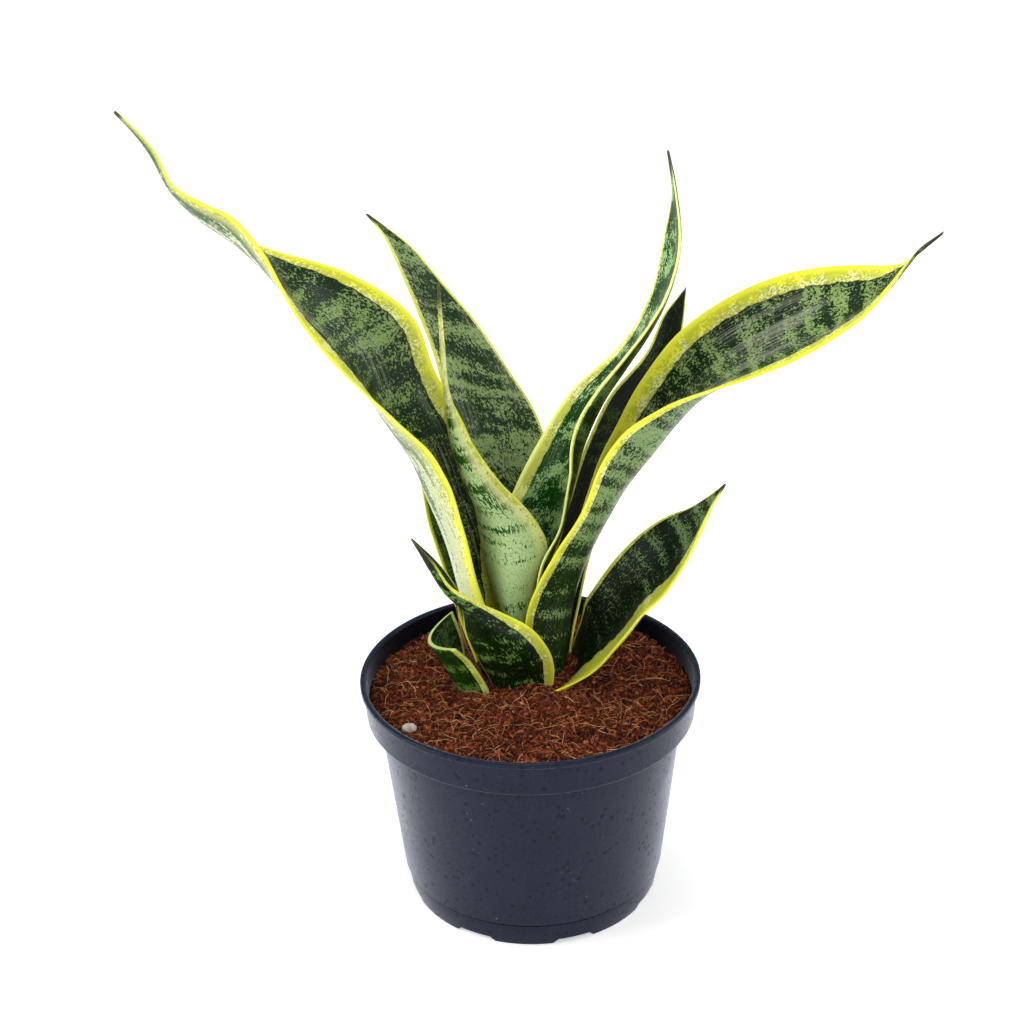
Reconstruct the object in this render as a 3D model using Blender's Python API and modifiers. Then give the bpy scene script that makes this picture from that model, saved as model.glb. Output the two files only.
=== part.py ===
"""A variegated snake plant in a round nursery pot, about 41 cm tall with its pot.

The pot stands on Z = 0.  The plant is turned so that its two longest leaves reach out to the left (-X) and
to the right (+X), and its low leaves stand on the -Y side.  The pieces are modelled about the pot's axis.
The right leaf reaches further than the left one, so the whole plant is then moved to bring the middle of
its width to X = 0.  Sizes named with _MM are in millimetres, and everything else is in metres.
"""

import math

import bmesh
import bpy
import numpy as np

MM = 0.001
GAP = 0.3 * MM  # clearance kept between pieces that touch
POT_X = -8 * MM  # the pot's axis, counted from the middle of the whole plant's width

# ---- driving dimensions of the pot -------------------------------------------------------------------------
RIM_RADIUS = 85 * MM
POT_HEIGHT = 119 * MM
FOOT_RADIUS = 64.2 * MM
WALL = 1.6 * MM
LIP_OVERHANG = 1.6 * MM
LIP_HEIGHT = 2.6 * MM
LIP_ROUNDING = 0.8 * MM
LIP_SLANT = 0.6 * MM
BAND_HEIGHT = 18.5 * MM  # collar, from the rim down to its lower edge
BAND_TAPER = 1.0 * MM  # the collar narrows by this much, radially, from top to bottom
BAND_STEP = 6.0 * MM  # how far the body stands in below the collar
STEP_DROP = 2.0 * MM  # how much higher the step is inside than outside
STEP_SLANT = 0.5 * MM
CREASE_HEIGHT = 13.7 * MM  # mould line above the foot
CREASE_STEP = 0.5 * MM
CREASE_FLARE = 2.2 * MM  # the wall leans out this much between the foot and the mould line
FLOOR_HEIGHT = 6.0 * MM  # underside of the pot's floor
FLOOR_FLARE = 0.8 * MM
FOOT_RING_WIDTH = 3.0 * MM
POT_SIDES = 96

NOTCH_COUNT = 8
NOTCH_FIRST_ANGLE = -73  # degrees, the first drainage notch, counted from +X
NOTCH_WIDTH = 22 * MM
NOTCH_HEIGHT = 2.6 * MM
NOTCH_SLANT = 3.0 * MM  # how much narrower a notch is at its top, each side
DRAIN_COUNT = 8
DRAIN_RADIUS = 4.0 * MM
DRAIN_RING_RADIUS = 44 * MM

# ---- potting mix, rhizome and stone ------------------------------------------------------------------------
SOIL_TOP = 109.5 * MM
SOIL_CROWN = 1.5 * MM  # the mix rises this much towards the plant
SOIL_FLAT_RADIUS = 40 * MM
SOIL_SLOPE_RADIUS = 62 * MM
SOIL_EDGE_WIDTH = 3 * MM  # the mix drops away beside the wall
SOIL_EDGE_DROP = 2 * MM
CROWN_X = -5 * MM  # the middle of the leaf bases
CROWN_Y = 19 * MM
WELL_RADIUS_X = 41 * MM  # the hollow that the leaf bases stand in
WELL_RADIUS_Y = 35 * MM
WELL_FLOOR = 95 * MM
RHIZOME_RADIUS = 11 * MM
RHIZOME_LENGTH = 46 * MM
RHIZOME_HEIGHT = 83 * MM  # its middle, above the pot's base
RHIZOME_CLEARANCE = 4 * MM
RHIZOME_BEND = 3 * MM
RHIZOME_TAPER = 1.85  # higher is thinner at the ends
STONE_PLACE = (-59 * MM, -40 * MM)
STONE_SIZE = (7.0 * MM, 6.0 * MM, 4.5 * MM)

# ---- leaves ------------------------------------------------------------------------------------------------
# A leaf is a row of ribs from its base to its tip.  Each rib gives the blade's left edge, its right edge, as
# seen on the leaf's inner face with the tip up, and how far the middle hangs back from the line between them.
# All are in millimetres.
BLADE_THICKNESS = 2.6 * MM
MARGIN_THICKNESS = 1.0 * MM
TIP_THICKNESS = 0.7 * MM
LEAF_ROWS = 24
LEAF_COLUMNS = 7
LEAST_CUP = 0.1 * MM
EVEN_SHARE = 0.65  # the rest of the columns' spacing crowds them towards the margins
TIP_THICKENING = 0.1  # near its tip a blade thickens by this share of its width

LEAVES_MM = {
    "leaf_long_left": [
        ((-3, 7, 99), (-8, 32, 99), 10),
        ((-12, 5, 127), (-11, 32, 124), 12),
        ((-22, 3, 156), (-15, 32, 149), 14),
        ((-29, -2, 192), (-16, 32, 180), 18),
        ((-33, -6, 213), (-19, 32, 202), 21),
        ((-42, -12, 240), (-28, 30, 237), 21),
        ((-60, -20, 264), (-42, 26, 269), 18),
        ((-82, -26, 290), (-52, 20, 300), 13),
        ((-99, -30, 317), (-81, 12, 324), 9),
        ((-111, -30, 345), (-114, 6, 337), 6),
        ((-123, -29, 361), (-131, 0, 346), 4),
        ((-136, -27, 367), (-142, -8, 357), 2.5),
        ((-147, -24, 373), (-150, -14, 370), 1.5),
        ((-155, -21, 389), (-158, -16, 387), 1),
        ((-162, -19, 397), (-164, -17, 396), 0.6),
        ((-170, -18, 405), (-171, -17, 404), 0.3),
    ],
    "leaf_back_left": [
        ((-17, 28, 99), (8, 34, 99), 7),
        ((-20, 32, 135), (10, 37, 132), 11),
        ((-24, 38, 177), (11, 40, 170), 12),
        ((-31, 40, 213), (13, 46, 203), 13),
        ((-38, 46, 242), (8, 54, 231), 11),
        ((-44, 54, 268), (-7, 60, 257), 9),
        ((-52, 60, 290), (-23, 65, 281), 7),
        ((-59, 64, 308), (-40, 68, 302), 4.5),
        ((-66, 68, 324), (-54, 70, 319), 2),
        ((-75, 71, 335), (-74, 71, 335), 0.3),
    ],
    "leaf_centre": [
        ((4, 19, 99), (-8, 20, 99), 5.5),
        ((3, 17, 130), (-13, 19, 128), 8),
        ((4, 16, 159), (-18, 19, 156), 11),
        ((10, 14, 181), (-22, 20, 177), 13),
        ((2, 14, 199), (-25, 20, 198), 11),
        ((-13, 14, 217), (-31, 19, 218), 8),
        ((-26, 14, 238), (-36, 16, 238), 4),
        ((-35, 13, 262), (-38, 12, 261), 1.5),
        ((-37, 12, 290), (-39, 11, 290), 0.8),
        ((-38, 12, 318), (-39, 12, 318), 0.3),
    ],
    "leaf_upright_right": [
        ((-3, 30, 99), (4, 12, 99), 7.5),
        ((-7, 33, 130), (4, 8, 137), 10),
        ((-11, 34, 161), (6, 4, 174), 12),
        ((-12, 37, 184), (16, 3, 197), 14),
        ((-5, 38, 204), (20, 0, 223), 14),
        ((8, 38, 230), (22, 0, 245), 13),
        ((24, 36, 256), (32, 0, 266), 10),
        ((40, 32, 272), (44, 0, 281), 6),
        ((52, 28, 288), (56, 2, 296), 4),
        ((60, 24, 307), (66, 4, 313), 3),
        ((65, 20, 334), (71, 6, 338), 2.5),
        ((68, 16, 355), (69, 10, 358), 1),
        ((65, 12, 376), (66, 12, 376), 0.3),
    ],
    "leaf_back_right": [
        ((-4, 43, 99), (19, 27, 99), 6),
        ((5, 48, 133), (26, 37, 135), 7),
        ((16, 51, 168), (35, 43, 172), 7),
        ((32, 52, 222), (52, 45, 222), 8),
        ((44, 54, 246), (65, 48, 246), 7),
        ((61, 56, 266), (75, 52, 264), 4),
        ((70, 57, 286), (79, 55, 282), 2),
        ((80, 58, 298), (80, 58, 299), 0.3),
    ],
    "leaf_broad_right": [
        ((11, 31, 99), (-5, 3, 99), 11),
        ((16, 31, 123), (-3, 2, 127), 12),
        ((19, 34, 146), (-1, 1, 152), 12),
        ((24, 38, 174), (12, -4, 184), 12),
        ((31, 40, 198), (26, -8, 210), 13),
        ((37, 38, 218), (34, -10, 233), 17),
        ((45, 34, 237), (45, -12, 251), 19),
        ((55, 32, 258), (64, -15, 265), 17),
        ((75, 30, 286), (86, -18, 274), 13),
        ((100, 26, 305), (106, -20, 281), 11),
        ((122, 22, 315), (124, -20, 289), 9),
        ((141, 16, 320), (140, -20, 299), 7),
        ((156, 10, 322), (154, -18, 310), 5),
        ((165, 2, 324), (163, -14, 320), 3),
        ((171, -6, 328), (172, -8, 330), 1.5),
        ((187, -4, 340), (187, -4, 341), 0.3),
    ],
    "leaf_low_right": [
        ((20, 36, 99), (3, -8, 99), 12),
        ((24, 33, 119), (8, -9, 110), 9),
        ((27, 31, 130), (17, -9, 114), 8),
        ((29, 30, 141), (30, -8, 121), 9),
        ((34, 27, 152), (42, -9, 136), 12),
        ((45, 24, 170), (54, -10, 153), 11),
        ((57, 20, 185), (66, -11, 167), 10),
        ((68, 12, 197), (74, -12, 181), 7),
        ((78, 4, 205), (81, -11, 197), 4),
        ((86, -3, 214), (87, -8, 210), 2),
        ((94, -6, 222), (94, -6, 221), 0.3),
    ],
    "leaf_low_front": [
        ((10, -1, 99), (-16, 0, 99), 5),
        ((12, -2, 120), (-21, -2, 118), 6),
        ((10, -4, 132), (-27, -4, 132), 8),
        ((1, -7, 147), (-31, -8, 146), 8),
        ((-13, -11, 158), (-32, -11, 159), 7),
        ((-26, -15, 167), (-33, -12, 168), 5),
        ((-36, -19, 176), (-36, -13, 176), 5),
        ((-44, -23, 191), (-43, -18, 190), 4),
        ((-49, -25, 199), (-49, -22, 199), 2),
        ((-54, -27, 206), (-54, -27, 207), 0.3),
    ],
    "leaf_short_left": [
        ((-17, -5, 99), (-34, 13, 99), 10),
        ((-22, -7, 116), (-33, 14, 116), 11),
        ((-29, -9, 130), (-34, 14, 132), 13),
        ((-36, -12, 139), (-38, 13, 147), 14),
    ],
    "leaf_hidden_left": [
        ((-22, 20, 99), (-10, 40, 99), 4),
        ((-32, 27, 125), (-15, 44, 122), 5),
        ((-40, 31, 151), (-20, 46, 144), 6),
        ((-44, 33, 166), (-22, 47, 162), 7),
        ((-49, 36, 183), (-26, 48, 183), 7),
        ((-52, 38, 204), (-31, 49, 208), 6),
        ((-54, 40, 223), (-39, 49, 227), 4),
        ((-54, 42, 238), (-48, 47, 241), 2),
        ((-55, 44, 251), (-54, 44, 252), 0.3),
    ],
}

# The dry brown edge of an old sheath, a narrow strip that stands between two leaves.
SHEATH_THICKNESS = 0.9 * MM
SHEATH_ROWS = 10
SHEATH_COLUMNS = 3
SHEATH_MM = [
    ((-20, 1, 99), (-20, 6, 99), 0.6),
    ((-25, -1, 118), (-25, 4, 118), 0.6),
    ((-31, 0, 134), (-32, 4, 134), 0.5),
    ((-36, 3, 155), (-36, 6, 156), 0.3),
]

# ---- colours: red, green, blue and roughness -----------------------------------------------------------------
FINISHES = {
    "pot_plastic": ((0.030, 0.034, 0.045), 0.38),
    "potting_mix": ((0.115, 0.040, 0.020), 0.95),
    "rhizome_skin": ((0.55, 0.36, 0.17), 0.7),
    "leaf_green": ((0.055, 0.145, 0.055), 0.42),
    "dry_sheath": ((0.25, 0.14, 0.07), 0.85),
    "pale_stone": ((0.55, 0.52, 0.47), 0.8),
}


def clear_scene():
    """Removes whatever the file opened with."""
    for old in list(bpy.data.objects):
        bpy.data.objects.remove(old)


def new_collection(name):
    group = bpy.data.collections.new(name)
    bpy.context.scene.collection.children.link(group)
    return group


def new_material(name):
    colour, roughness = FINISHES[name]
    material = bpy.data.materials.new(name)
    material.use_nodes = True
    shader = material.node_tree.nodes["Principled BSDF"]
    shader.inputs["Base Color"].default_value = (*colour, 1.0)
    shader.inputs["Roughness"].default_value = roughness
    shader.inputs["Metallic"].default_value = 0.0
    return material


def new_object(name, mesh, group, material=None):
    piece = bpy.data.objects.new(name, mesh)
    group.objects.link(piece)
    if material:
        mesh.materials.append(material)
    return piece


def turned(name, profile, sides, group, material=None):
    """Spins a profile of (radius, height) points about the Z axis.  The profile runs down its outer side."""
    mesh = bpy.data.meshes.new(name)
    vertices = [(radius, 0.0, height) for radius, height in profile]
    edges = [(i, i + 1) for i in range(len(profile) - 1)]
    mesh.from_pydata(vertices, edges, [])
    piece = new_object(name, mesh, group, material)
    screw = piece.modifiers.new("turn", "SCREW")
    screw.steps = sides
    screw.render_steps = sides
    screw.use_merge_vertices = True
    screw.merge_threshold = 0.00001
    return piece


def cutter(name, mesh, group):
    """An object that only cuts others: it is shown as wires and never rendered."""
    piece = new_object(name, mesh, group)
    piece.display_type = "WIRE"
    piece.hide_render = True
    return piece


def cut(piece, tools):
    for tool in tools:
        boolean = piece.modifiers.new("cut by " + tool.name, "BOOLEAN")
        boolean.operation = "DIFFERENCE"
        boolean.solver = "EXACT"
        boolean.object = tool


# ---- the pot -------------------------------------------------------------------------------------------------

BAND_TOP_RADIUS = RIM_RADIUS - LIP_OVERHANG
BAND_FOOT_RADIUS = BAND_TOP_RADIUS - BAND_TAPER
BAND_FOOT_HEIGHT = POT_HEIGHT - BAND_HEIGHT
BODY_TOP_RADIUS = BAND_FOOT_RADIUS - BAND_STEP
CREASE_RADIUS = FOOT_RADIUS + CREASE_FLARE
INNER_STEP_HEIGHT = BAND_FOOT_HEIGHT + STEP_DROP


def pot_outline():
    """Down the outside from the rim, under the foot ring and the floor, then back up the inside to the rim."""
    floor_top = FLOOR_HEIGHT + WALL
    foot_inner = FOOT_RADIUS - FOOT_RING_WIDTH
    crease_top = CREASE_RADIUS + CREASE_STEP
    outside = [
        (RIM_RADIUS - LIP_ROUNDING, POT_HEIGHT),
        (RIM_RADIUS, POT_HEIGHT - LIP_ROUNDING),
        (RIM_RADIUS, POT_HEIGHT - LIP_HEIGHT),
        (BAND_TOP_RADIUS, POT_HEIGHT - LIP_HEIGHT - LIP_SLANT),
        (BAND_FOOT_RADIUS, BAND_FOOT_HEIGHT),
        (BODY_TOP_RADIUS, BAND_FOOT_HEIGHT - STEP_SLANT),
        (crease_top, CREASE_HEIGHT),
        (CREASE_RADIUS, CREASE_HEIGHT - STEP_SLANT),
        (FOOT_RADIUS, 0.0),
    ]
    underside = [
        (foot_inner, 0.0),
        (foot_inner, FLOOR_HEIGHT),
        (0.0, FLOOR_HEIGHT),
    ]
    inside = [
        (RIM_RADIUS - LIP_ROUNDING, POT_HEIGHT),
        (BAND_TOP_RADIUS - WALL, POT_HEIGHT - LIP_ROUNDING),
        (BAND_FOOT_RADIUS - WALL, INNER_STEP_HEIGHT),
        (BODY_TOP_RADIUS - WALL, INNER_STEP_HEIGHT - STEP_SLANT),
        (FOOT_RADIUS + FLOOR_FLARE - WALL, floor_top),
        (0.0, floor_top),
    ]
    return inside[::-1][:-1] + outside + underside


def notch_cutter(index, group):
    """A wedge that cuts one drainage notch through the foot ring, wide at the floor and narrower above."""
    reach = 4 * FOOT_RING_WIDTH
    mesh = bpy.data.meshes.new(f"notch_cutter_{index}")
    half_width = NOTCH_WIDTH / 2
    below = NOTCH_HEIGHT
    form = bmesh.new()
    bmesh.ops.create_cube(form, size=1.0)
    for corner in form.verts:
        at_top = corner.co.z > 0
        half = half_width - NOTCH_SLANT if at_top else half_width + NOTCH_SLANT
        corner.co.x = math.copysign(reach, corner.co.x)
        corner.co.y = math.copysign(half, corner.co.y)
        corner.co.z = NOTCH_HEIGHT if at_top else -below
    form.to_mesh(mesh)
    form.free()
    piece = cutter(mesh.name, mesh, group)
    angle = math.radians(NOTCH_FIRST_ANGLE + index * 360 / NOTCH_COUNT)
    ring = FOOT_RADIUS - FOOT_RING_WIDTH / 2
    piece.location = (ring * math.cos(angle), ring * math.sin(angle), 0.0)
    piece.rotation_euler = (0.0, 0.0, angle)
    return piece


def drain_cutter(index, group):
    """A round hole through the pot's floor."""
    mesh = bpy.data.meshes.new(f"drain_cutter_{index}")
    form = bmesh.new()
    bmesh.ops.create_cone(
        form, cap_ends=True, segments=20, radius1=DRAIN_RADIUS, radius2=DRAIN_RADIUS, depth=4 * WALL
    )
    form.to_mesh(mesh)
    form.free()
    piece = cutter(mesh.name, mesh, group)
    angle = math.radians(NOTCH_FIRST_ANGLE + (index + 0.5) * 360 / DRAIN_COUNT)
    height = FLOOR_HEIGHT + WALL / 2
    piece.location = (DRAIN_RING_RADIUS * math.cos(angle), DRAIN_RING_RADIUS * math.sin(angle), height)
    return piece


def build_pot(parts, cutters):
    pot = turned("pot", pot_outline(), POT_SIDES, parts, new_material("pot_plastic"))
    notches = [notch_cutter(i, cutters) for i in range(NOTCH_COUNT)]
    drains = [drain_cutter(i, cutters) for i in range(DRAIN_COUNT)]
    cut(pot, notches + drains)
    pot.data.shade_smooth()
    pot.data.set_sharp_from_angle(angle=math.radians(30))
    return pot


# ---- what fills the pot --------------------------------------------------------------------------------------


def soil_outline():
    """The mix fills the pot's inside, with a small clearance, up to a surface that rises towards the plant."""
    floor_top = FLOOR_HEIGHT + WALL + GAP
    side_gap = WALL + 2 * GAP
    edge_top = SOIL_TOP - SOIL_EDGE_DROP
    collar_share = (POT_HEIGHT - edge_top) / BAND_HEIGHT
    edge_radius = BAND_TOP_RADIUS - BAND_TAPER * collar_share - side_gap
    return [
        (0.0, SOIL_TOP + SOIL_CROWN),
        (SOIL_FLAT_RADIUS, SOIL_TOP + SOIL_CROWN),
        (SOIL_SLOPE_RADIUS, SOIL_TOP + SOIL_CROWN / 2),
        (edge_radius - SOIL_EDGE_WIDTH, SOIL_TOP - SOIL_EDGE_DROP / 4),
        (edge_radius, edge_top),
        (BAND_FOOT_RADIUS - side_gap, INNER_STEP_HEIGHT + GAP),
        (BODY_TOP_RADIUS - side_gap, INNER_STEP_HEIGHT - STEP_SLANT),
        (FOOT_RADIUS + FLOOR_FLARE - side_gap, floor_top),
        (0.0, floor_top),
    ]


def well_cutter(name, radius_x, radius_y, low, high, group):
    """An upright oval block that hollows the mix around the middle of the plant."""
    mesh = bpy.data.meshes.new(name)
    form = bmesh.new()
    bmesh.ops.create_cone(form, cap_ends=True, segments=40, radius1=1.0, radius2=1.0, depth=1.0)
    for corner in form.verts:
        corner.co.x = CROWN_X + corner.co.x * radius_x
        corner.co.y = CROWN_Y + corner.co.y * radius_y
        corner.co.z = low + (corner.co.z + 0.5) * (high - low)
    form.to_mesh(mesh)
    form.free()
    return cutter(name, mesh, group)


def build_soil(parts, cutters):
    soil = turned("potting_mix", soil_outline(), POT_SIDES, parts, new_material("potting_mix"))
    above = SOIL_TOP + 4 * SOIL_CROWN
    leaf_well = well_cutter("leaf_well", WELL_RADIUS_X, WELL_RADIUS_Y, WELL_FLOOR, above, cutters)
    rhizome_x = RHIZOME_LENGTH / 2 + RHIZOME_CLEARANCE
    rhizome_y = RHIZOME_RADIUS + RHIZOME_CLEARANCE
    rhizome_floor = RHIZOME_HEIGHT - RHIZOME_RADIUS - RHIZOME_CLEARANCE
    rhizome_well = well_cutter("rhizome_well", rhizome_x, rhizome_y, rhizome_floor, above, cutters)
    cut(soil, [leaf_well, rhizome_well])
    soil.data.shade_smooth()
    soil.data.set_sharp_from_angle(angle=math.radians(30))
    return soil


def build_rhizome(parts):
    """The short thick stem that all the leaves grow from, tapered towards its two ends."""
    curve = bpy.data.curves.new("rhizome", "CURVE")
    curve.dimensions = "3D"
    curve.bevel_depth = RHIZOME_RADIUS
    curve.bevel_resolution = 4
    curve.use_fill_caps = True
    spline = curve.splines.new("POLY")
    shares = [-0.5, -0.42, -0.25, 0.0, 0.25, 0.42, 0.5]
    spline.points.add(len(shares) - 1)
    for point, share in zip(spline.points, shares):
        bend = RHIZOME_BEND * (math.cos(math.pi * share) - 0.5)
        place = (CROWN_X + share * RHIZOME_LENGTH, CROWN_Y + bend, RHIZOME_HEIGHT)
        point.co = (*place, 1.0)
        point.radius = math.sqrt(1.0 - (RHIZOME_TAPER * share) ** 2)
    return new_object("rhizome", curve, parts, new_material("rhizome_skin"))


def build_stone(parts):
    """One small pale stone lying on the mix."""
    mesh = bpy.data.meshes.new("stone")
    form = bmesh.new()
    bmesh.ops.create_icosphere(form, subdivisions=2, radius=0.5)
    unevenness = [1.0, 0.94, 1.03, 0.97]
    for number, corner in enumerate(form.verts):
        corner.co *= unevenness[number % len(unevenness)]
        corner.co.x *= STONE_SIZE[0]
        corner.co.y *= STONE_SIZE[1]
        corner.co.z *= STONE_SIZE[2]
    form.to_mesh(mesh)
    form.free()
    stone = new_object("stone", mesh, parts, new_material("pale_stone"))
    stone.location = (*STONE_PLACE, SOIL_TOP + GAP + STONE_SIZE[2] / 2)
    return stone


# ---- the leaves ----------------------------------------------------------------------------------------------


def unit(vectors):
    length = np.linalg.norm(vectors, axis=-1, keepdims=True)
    return vectors / np.maximum(length, 1e-12)


def smooth_through(values, places, wanted):
    """A smooth curve through rows of values at the given places, read at the wanted places."""
    steps = np.diff(places)[:, None]
    slopes = np.diff(values, axis=0) / steps
    inner = (slopes[:-1] * steps[1:] + slopes[1:] * steps[:-1]) / (steps[:-1] + steps[1:])
    tangents = np.vstack([slopes[:1], inner, slopes[-1:]])
    index = np.clip(np.searchsorted(places, wanted, side="right") - 1, 0, len(places) - 2)
    span = steps[index]
    t = ((wanted - places[index])[:, None]) / span
    start = (2 * t**3 - 3 * t**2 + 1) * values[index]
    leave = (t**3 - 2 * t**2 + t) * span * tangents[index]
    arrive = (t**3 - t**2) * span * tangents[index + 1]
    end = (3 * t**2 - 2 * t**3) * values[index + 1]
    return start + leave + arrive + end


def blade_surface(ribs_mm, rows, columns):
    """The blade's middle surface, as rows of points from the left edge to the right edge, and where they lie
    across the blade, from -1 to 1."""
    left = np.array([rib[0] for rib in ribs_mm]) * MM
    right = np.array([rib[1] for rib in ribs_mm]) * MM
    cup = np.array([[rib[2]] for rib in ribs_mm]) * MM
    middle = (left + right) / 2
    along = np.concatenate([[0.0], np.cumsum(np.linalg.norm(np.diff(middle, axis=0), axis=1))])
    wanted = np.linspace(0.0, along[-1], rows)
    ribs = smooth_through(np.hstack([left, right, cup]), along, wanted)
    left = ribs[:, 0:3]
    right = ribs[:, 3:6]
    cup = np.maximum(ribs[:, 6:7], LEAST_CUP)
    direction = unit(np.gradient((left + right) / 2, axis=0))
    outward = unit(np.cross(direction, right - left))
    even = np.linspace(-1.0, 1.0, columns)
    across = EVEN_SHARE * even + (1 - EVEN_SHARE) * np.sin(even * math.pi / 2)
    share = across[None, :, None]
    line = left[:, None] * (1 - share) / 2 + right[:, None] * (1 + share) / 2
    return line + (outward * cup)[:, None] * (1 - share**2), across


def blade_rings(ribs_mm, rows, columns, thickness):
    """One closed ring of points for each row: the inner face, the right edge, the outer face, the left edge."""
    surface, across = blade_surface(ribs_mm, rows, columns)
    normal = unit(np.cross(np.gradient(surface, axis=0), np.gradient(surface, axis=1)))
    width = np.linalg.norm(np.diff(surface, axis=1), axis=2).sum(axis=1)
    middle = np.minimum(thickness, TIP_THICKNESS + TIP_THICKENING * width)
    edge = np.minimum(MARGIN_THICKNESS, middle)
    half = (edge[:, None] + (middle - edge)[:, None] * (1 - across**2)) / 2
    inner = surface - normal * half[..., None]
    outer = surface + normal * half[..., None]
    left_edge = surface[:, 0] - unit(surface[:, 1] - surface[:, 0]) * edge[:, None] / 2
    right_edge = surface[:, -1] + unit(surface[:, -1] - surface[:, -2]) * edge[:, None] / 2
    return np.concatenate([inner, right_edge[:, None], outer[:, ::-1], left_edge[:, None]], axis=1)


def loft(name, rings):
    """A closed mesh through rings of points that all have the same number of points."""
    form = bmesh.new()
    loops = [[form.verts.new(point) for point in ring] for ring in rings]
    count = len(loops[0])
    for lower, upper in zip(loops, loops[1:]):
        for i in range(count):
            j = (i + 1) % count
            form.faces.new((lower[i], lower[j], upper[j], upper[i]))
    columns = count // 2 - 1
    for loop in (loops[0], loops[-1]):
        for i in range(columns - 1):
            far = count - 2 - i
            form.faces.new((loop[i], loop[i + 1], loop[far - 1], loop[far]))
        form.faces.new((loop[columns - 1], loop[columns], loop[columns + 1]))
        form.faces.new((loop[count - 1], loop[0], loop[count - 2]))
    bmesh.ops.recalc_face_normals(form, faces=form.faces)
    bmesh.ops.triangulate(form, faces=form.faces)
    mesh = bpy.data.meshes.new(name)
    form.to_mesh(mesh)
    form.free()
    return mesh


def build_blade(name, ribs_mm, rows, columns, thickness, parts, material):
    rings = blade_rings(ribs_mm, rows, columns, thickness)
    blade = new_object(name, loft(name, rings), parts, material)
    blade.data.shade_smooth()
    blade.data.set_sharp_from_angle(angle=math.radians(50))
    return blade


def build_leaves(parts):
    green = new_material("leaf_green")
    for name, ribs_mm in LEAVES_MM.items():
        build_blade(name, ribs_mm, LEAF_ROWS, LEAF_COLUMNS, BLADE_THICKNESS, parts, green)


def build_sheath(parts):
    brown = new_material("dry_sheath")
    build_blade("dry_sheath", SHEATH_MM, SHEATH_ROWS, SHEATH_COLUMNS, SHEATH_THICKNESS, parts, brown)


def main():
    clear_scene()
    parts = new_collection("potted_snake_plant")
    cutters = new_collection("cutters")
    build_pot(parts, cutters)
    build_soil(parts, cutters)
    build_rhizome(parts)
    build_leaves(parts)
    build_sheath(parts)
    build_stone(parts)
    for piece in [*parts.objects, *cutters.objects]:
        piece.location.x += POT_X


main()
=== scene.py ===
# %% [markdown]
# # A potted snake plant
#
# This lesson dresses a plain solid model of a snake plant in its nursery pot.  The solid model, called the
# frame, holds the true sizes.  Each plain solid is swapped here for a finely shaped piece with a finish of
# its own: a moulded pot, crumbly potting mix with coir fibres, and ten stiff leaves with bands and margins.

# %% Load the frame
import math

import bpy
import numpy as np
from mathutils import Matrix, Vector, noise


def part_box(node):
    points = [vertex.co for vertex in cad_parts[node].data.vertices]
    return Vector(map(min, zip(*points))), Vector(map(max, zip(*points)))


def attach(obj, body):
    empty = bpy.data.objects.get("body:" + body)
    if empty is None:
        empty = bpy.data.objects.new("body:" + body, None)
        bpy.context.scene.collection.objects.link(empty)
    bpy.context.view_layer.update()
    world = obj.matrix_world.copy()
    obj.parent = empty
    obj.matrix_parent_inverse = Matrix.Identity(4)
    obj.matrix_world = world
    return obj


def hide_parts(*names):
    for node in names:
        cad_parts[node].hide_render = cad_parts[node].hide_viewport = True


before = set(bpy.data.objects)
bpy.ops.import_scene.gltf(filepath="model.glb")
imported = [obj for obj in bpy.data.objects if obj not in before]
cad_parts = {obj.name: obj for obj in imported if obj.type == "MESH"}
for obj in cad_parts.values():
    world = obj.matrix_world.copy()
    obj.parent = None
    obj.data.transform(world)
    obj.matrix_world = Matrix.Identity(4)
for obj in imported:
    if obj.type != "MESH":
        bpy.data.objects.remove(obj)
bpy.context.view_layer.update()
print("the frame holds", len(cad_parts), "solids")

# %% [markdown]
# Sizes are in metres.  Everything is placed from the axis of the pot, which the frame's own box of the pot
# gives.  Colours are written as the red, green and blue that a paint chart would list, from 0 to 255, and
# turned into the light values that shaders expect.

# %% Units, the pot's axis and colours
MM = 0.001
pot_low, pot_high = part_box("pot")
AXIS_X = (pot_low[0] + pot_high[0]) / 2
POT_HEIGHT = pot_high[2]
RIM_RADIUS = (pot_high[0] - pot_low[0]) / 2


def paint(red, green, blue):
    """A paint chart colour as linear light, with full opacity."""
    light = [((c / 255 + 0.055) / 1.055) ** 2.4 if c > 10 else c / 255 / 12.92 for c in (red, green, blue)]
    return (*light, 1.0)


print(f"the pot's axis is at x = {AXIS_X / MM:.1f} mm and its rim is {RIM_RADIUS / MM:.1f} mm in radius")

# %% [markdown]
# ## Camera, light and floor
#
# The plant is looked down on from a little over its own height, with a long lens, as on a studio table.
# The light is soft and comes from four square panels, the strongest at the left, and from the white room.
# The floor gives off a faint painted light, as a lit white table does, so that shadows stay pale.  Near the
# pot it gives off less, which paints a soft shade round it.

# %% Camera
CAMERA_PLACE = Vector((AXIS_X - 7.2 * MM, -734.4 * MM, 546.0 * MM))
CAMERA_TARGET = Vector((AXIS_X - 7.2 * MM, 0.0, 206.7 * MM))
CAMERA_ROLL = math.radians(-1.31)

camera_data = bpy.data.cameras.new("studio_camera")
camera_data.sensor_width = 36.0
camera_data.lens = 59.41
camera_data.clip_start = 0.05
camera_data.clip_end = 50.0
camera = bpy.data.objects.new("studio_camera", camera_data)
bpy.context.scene.collection.objects.link(camera)
look = (CAMERA_TARGET - CAMERA_PLACE).normalized()
turn = look.to_track_quat("-Z", "Y").to_matrix().to_4x4()
camera.matrix_world = Matrix.Translation(CAMERA_PLACE) @ turn @ Matrix.Rotation(CAMERA_ROLL, 4, "Z")
bpy.context.scene.camera = camera
bpy.context.scene.view_settings.view_transform = "Standard"
print("the camera looks down", round(math.degrees(math.asin(-look.z)), 1), "degrees")


# %% Lights
PLANT_MIDDLE = Vector((AXIS_X, 0.0, 200 * MM))


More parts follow.
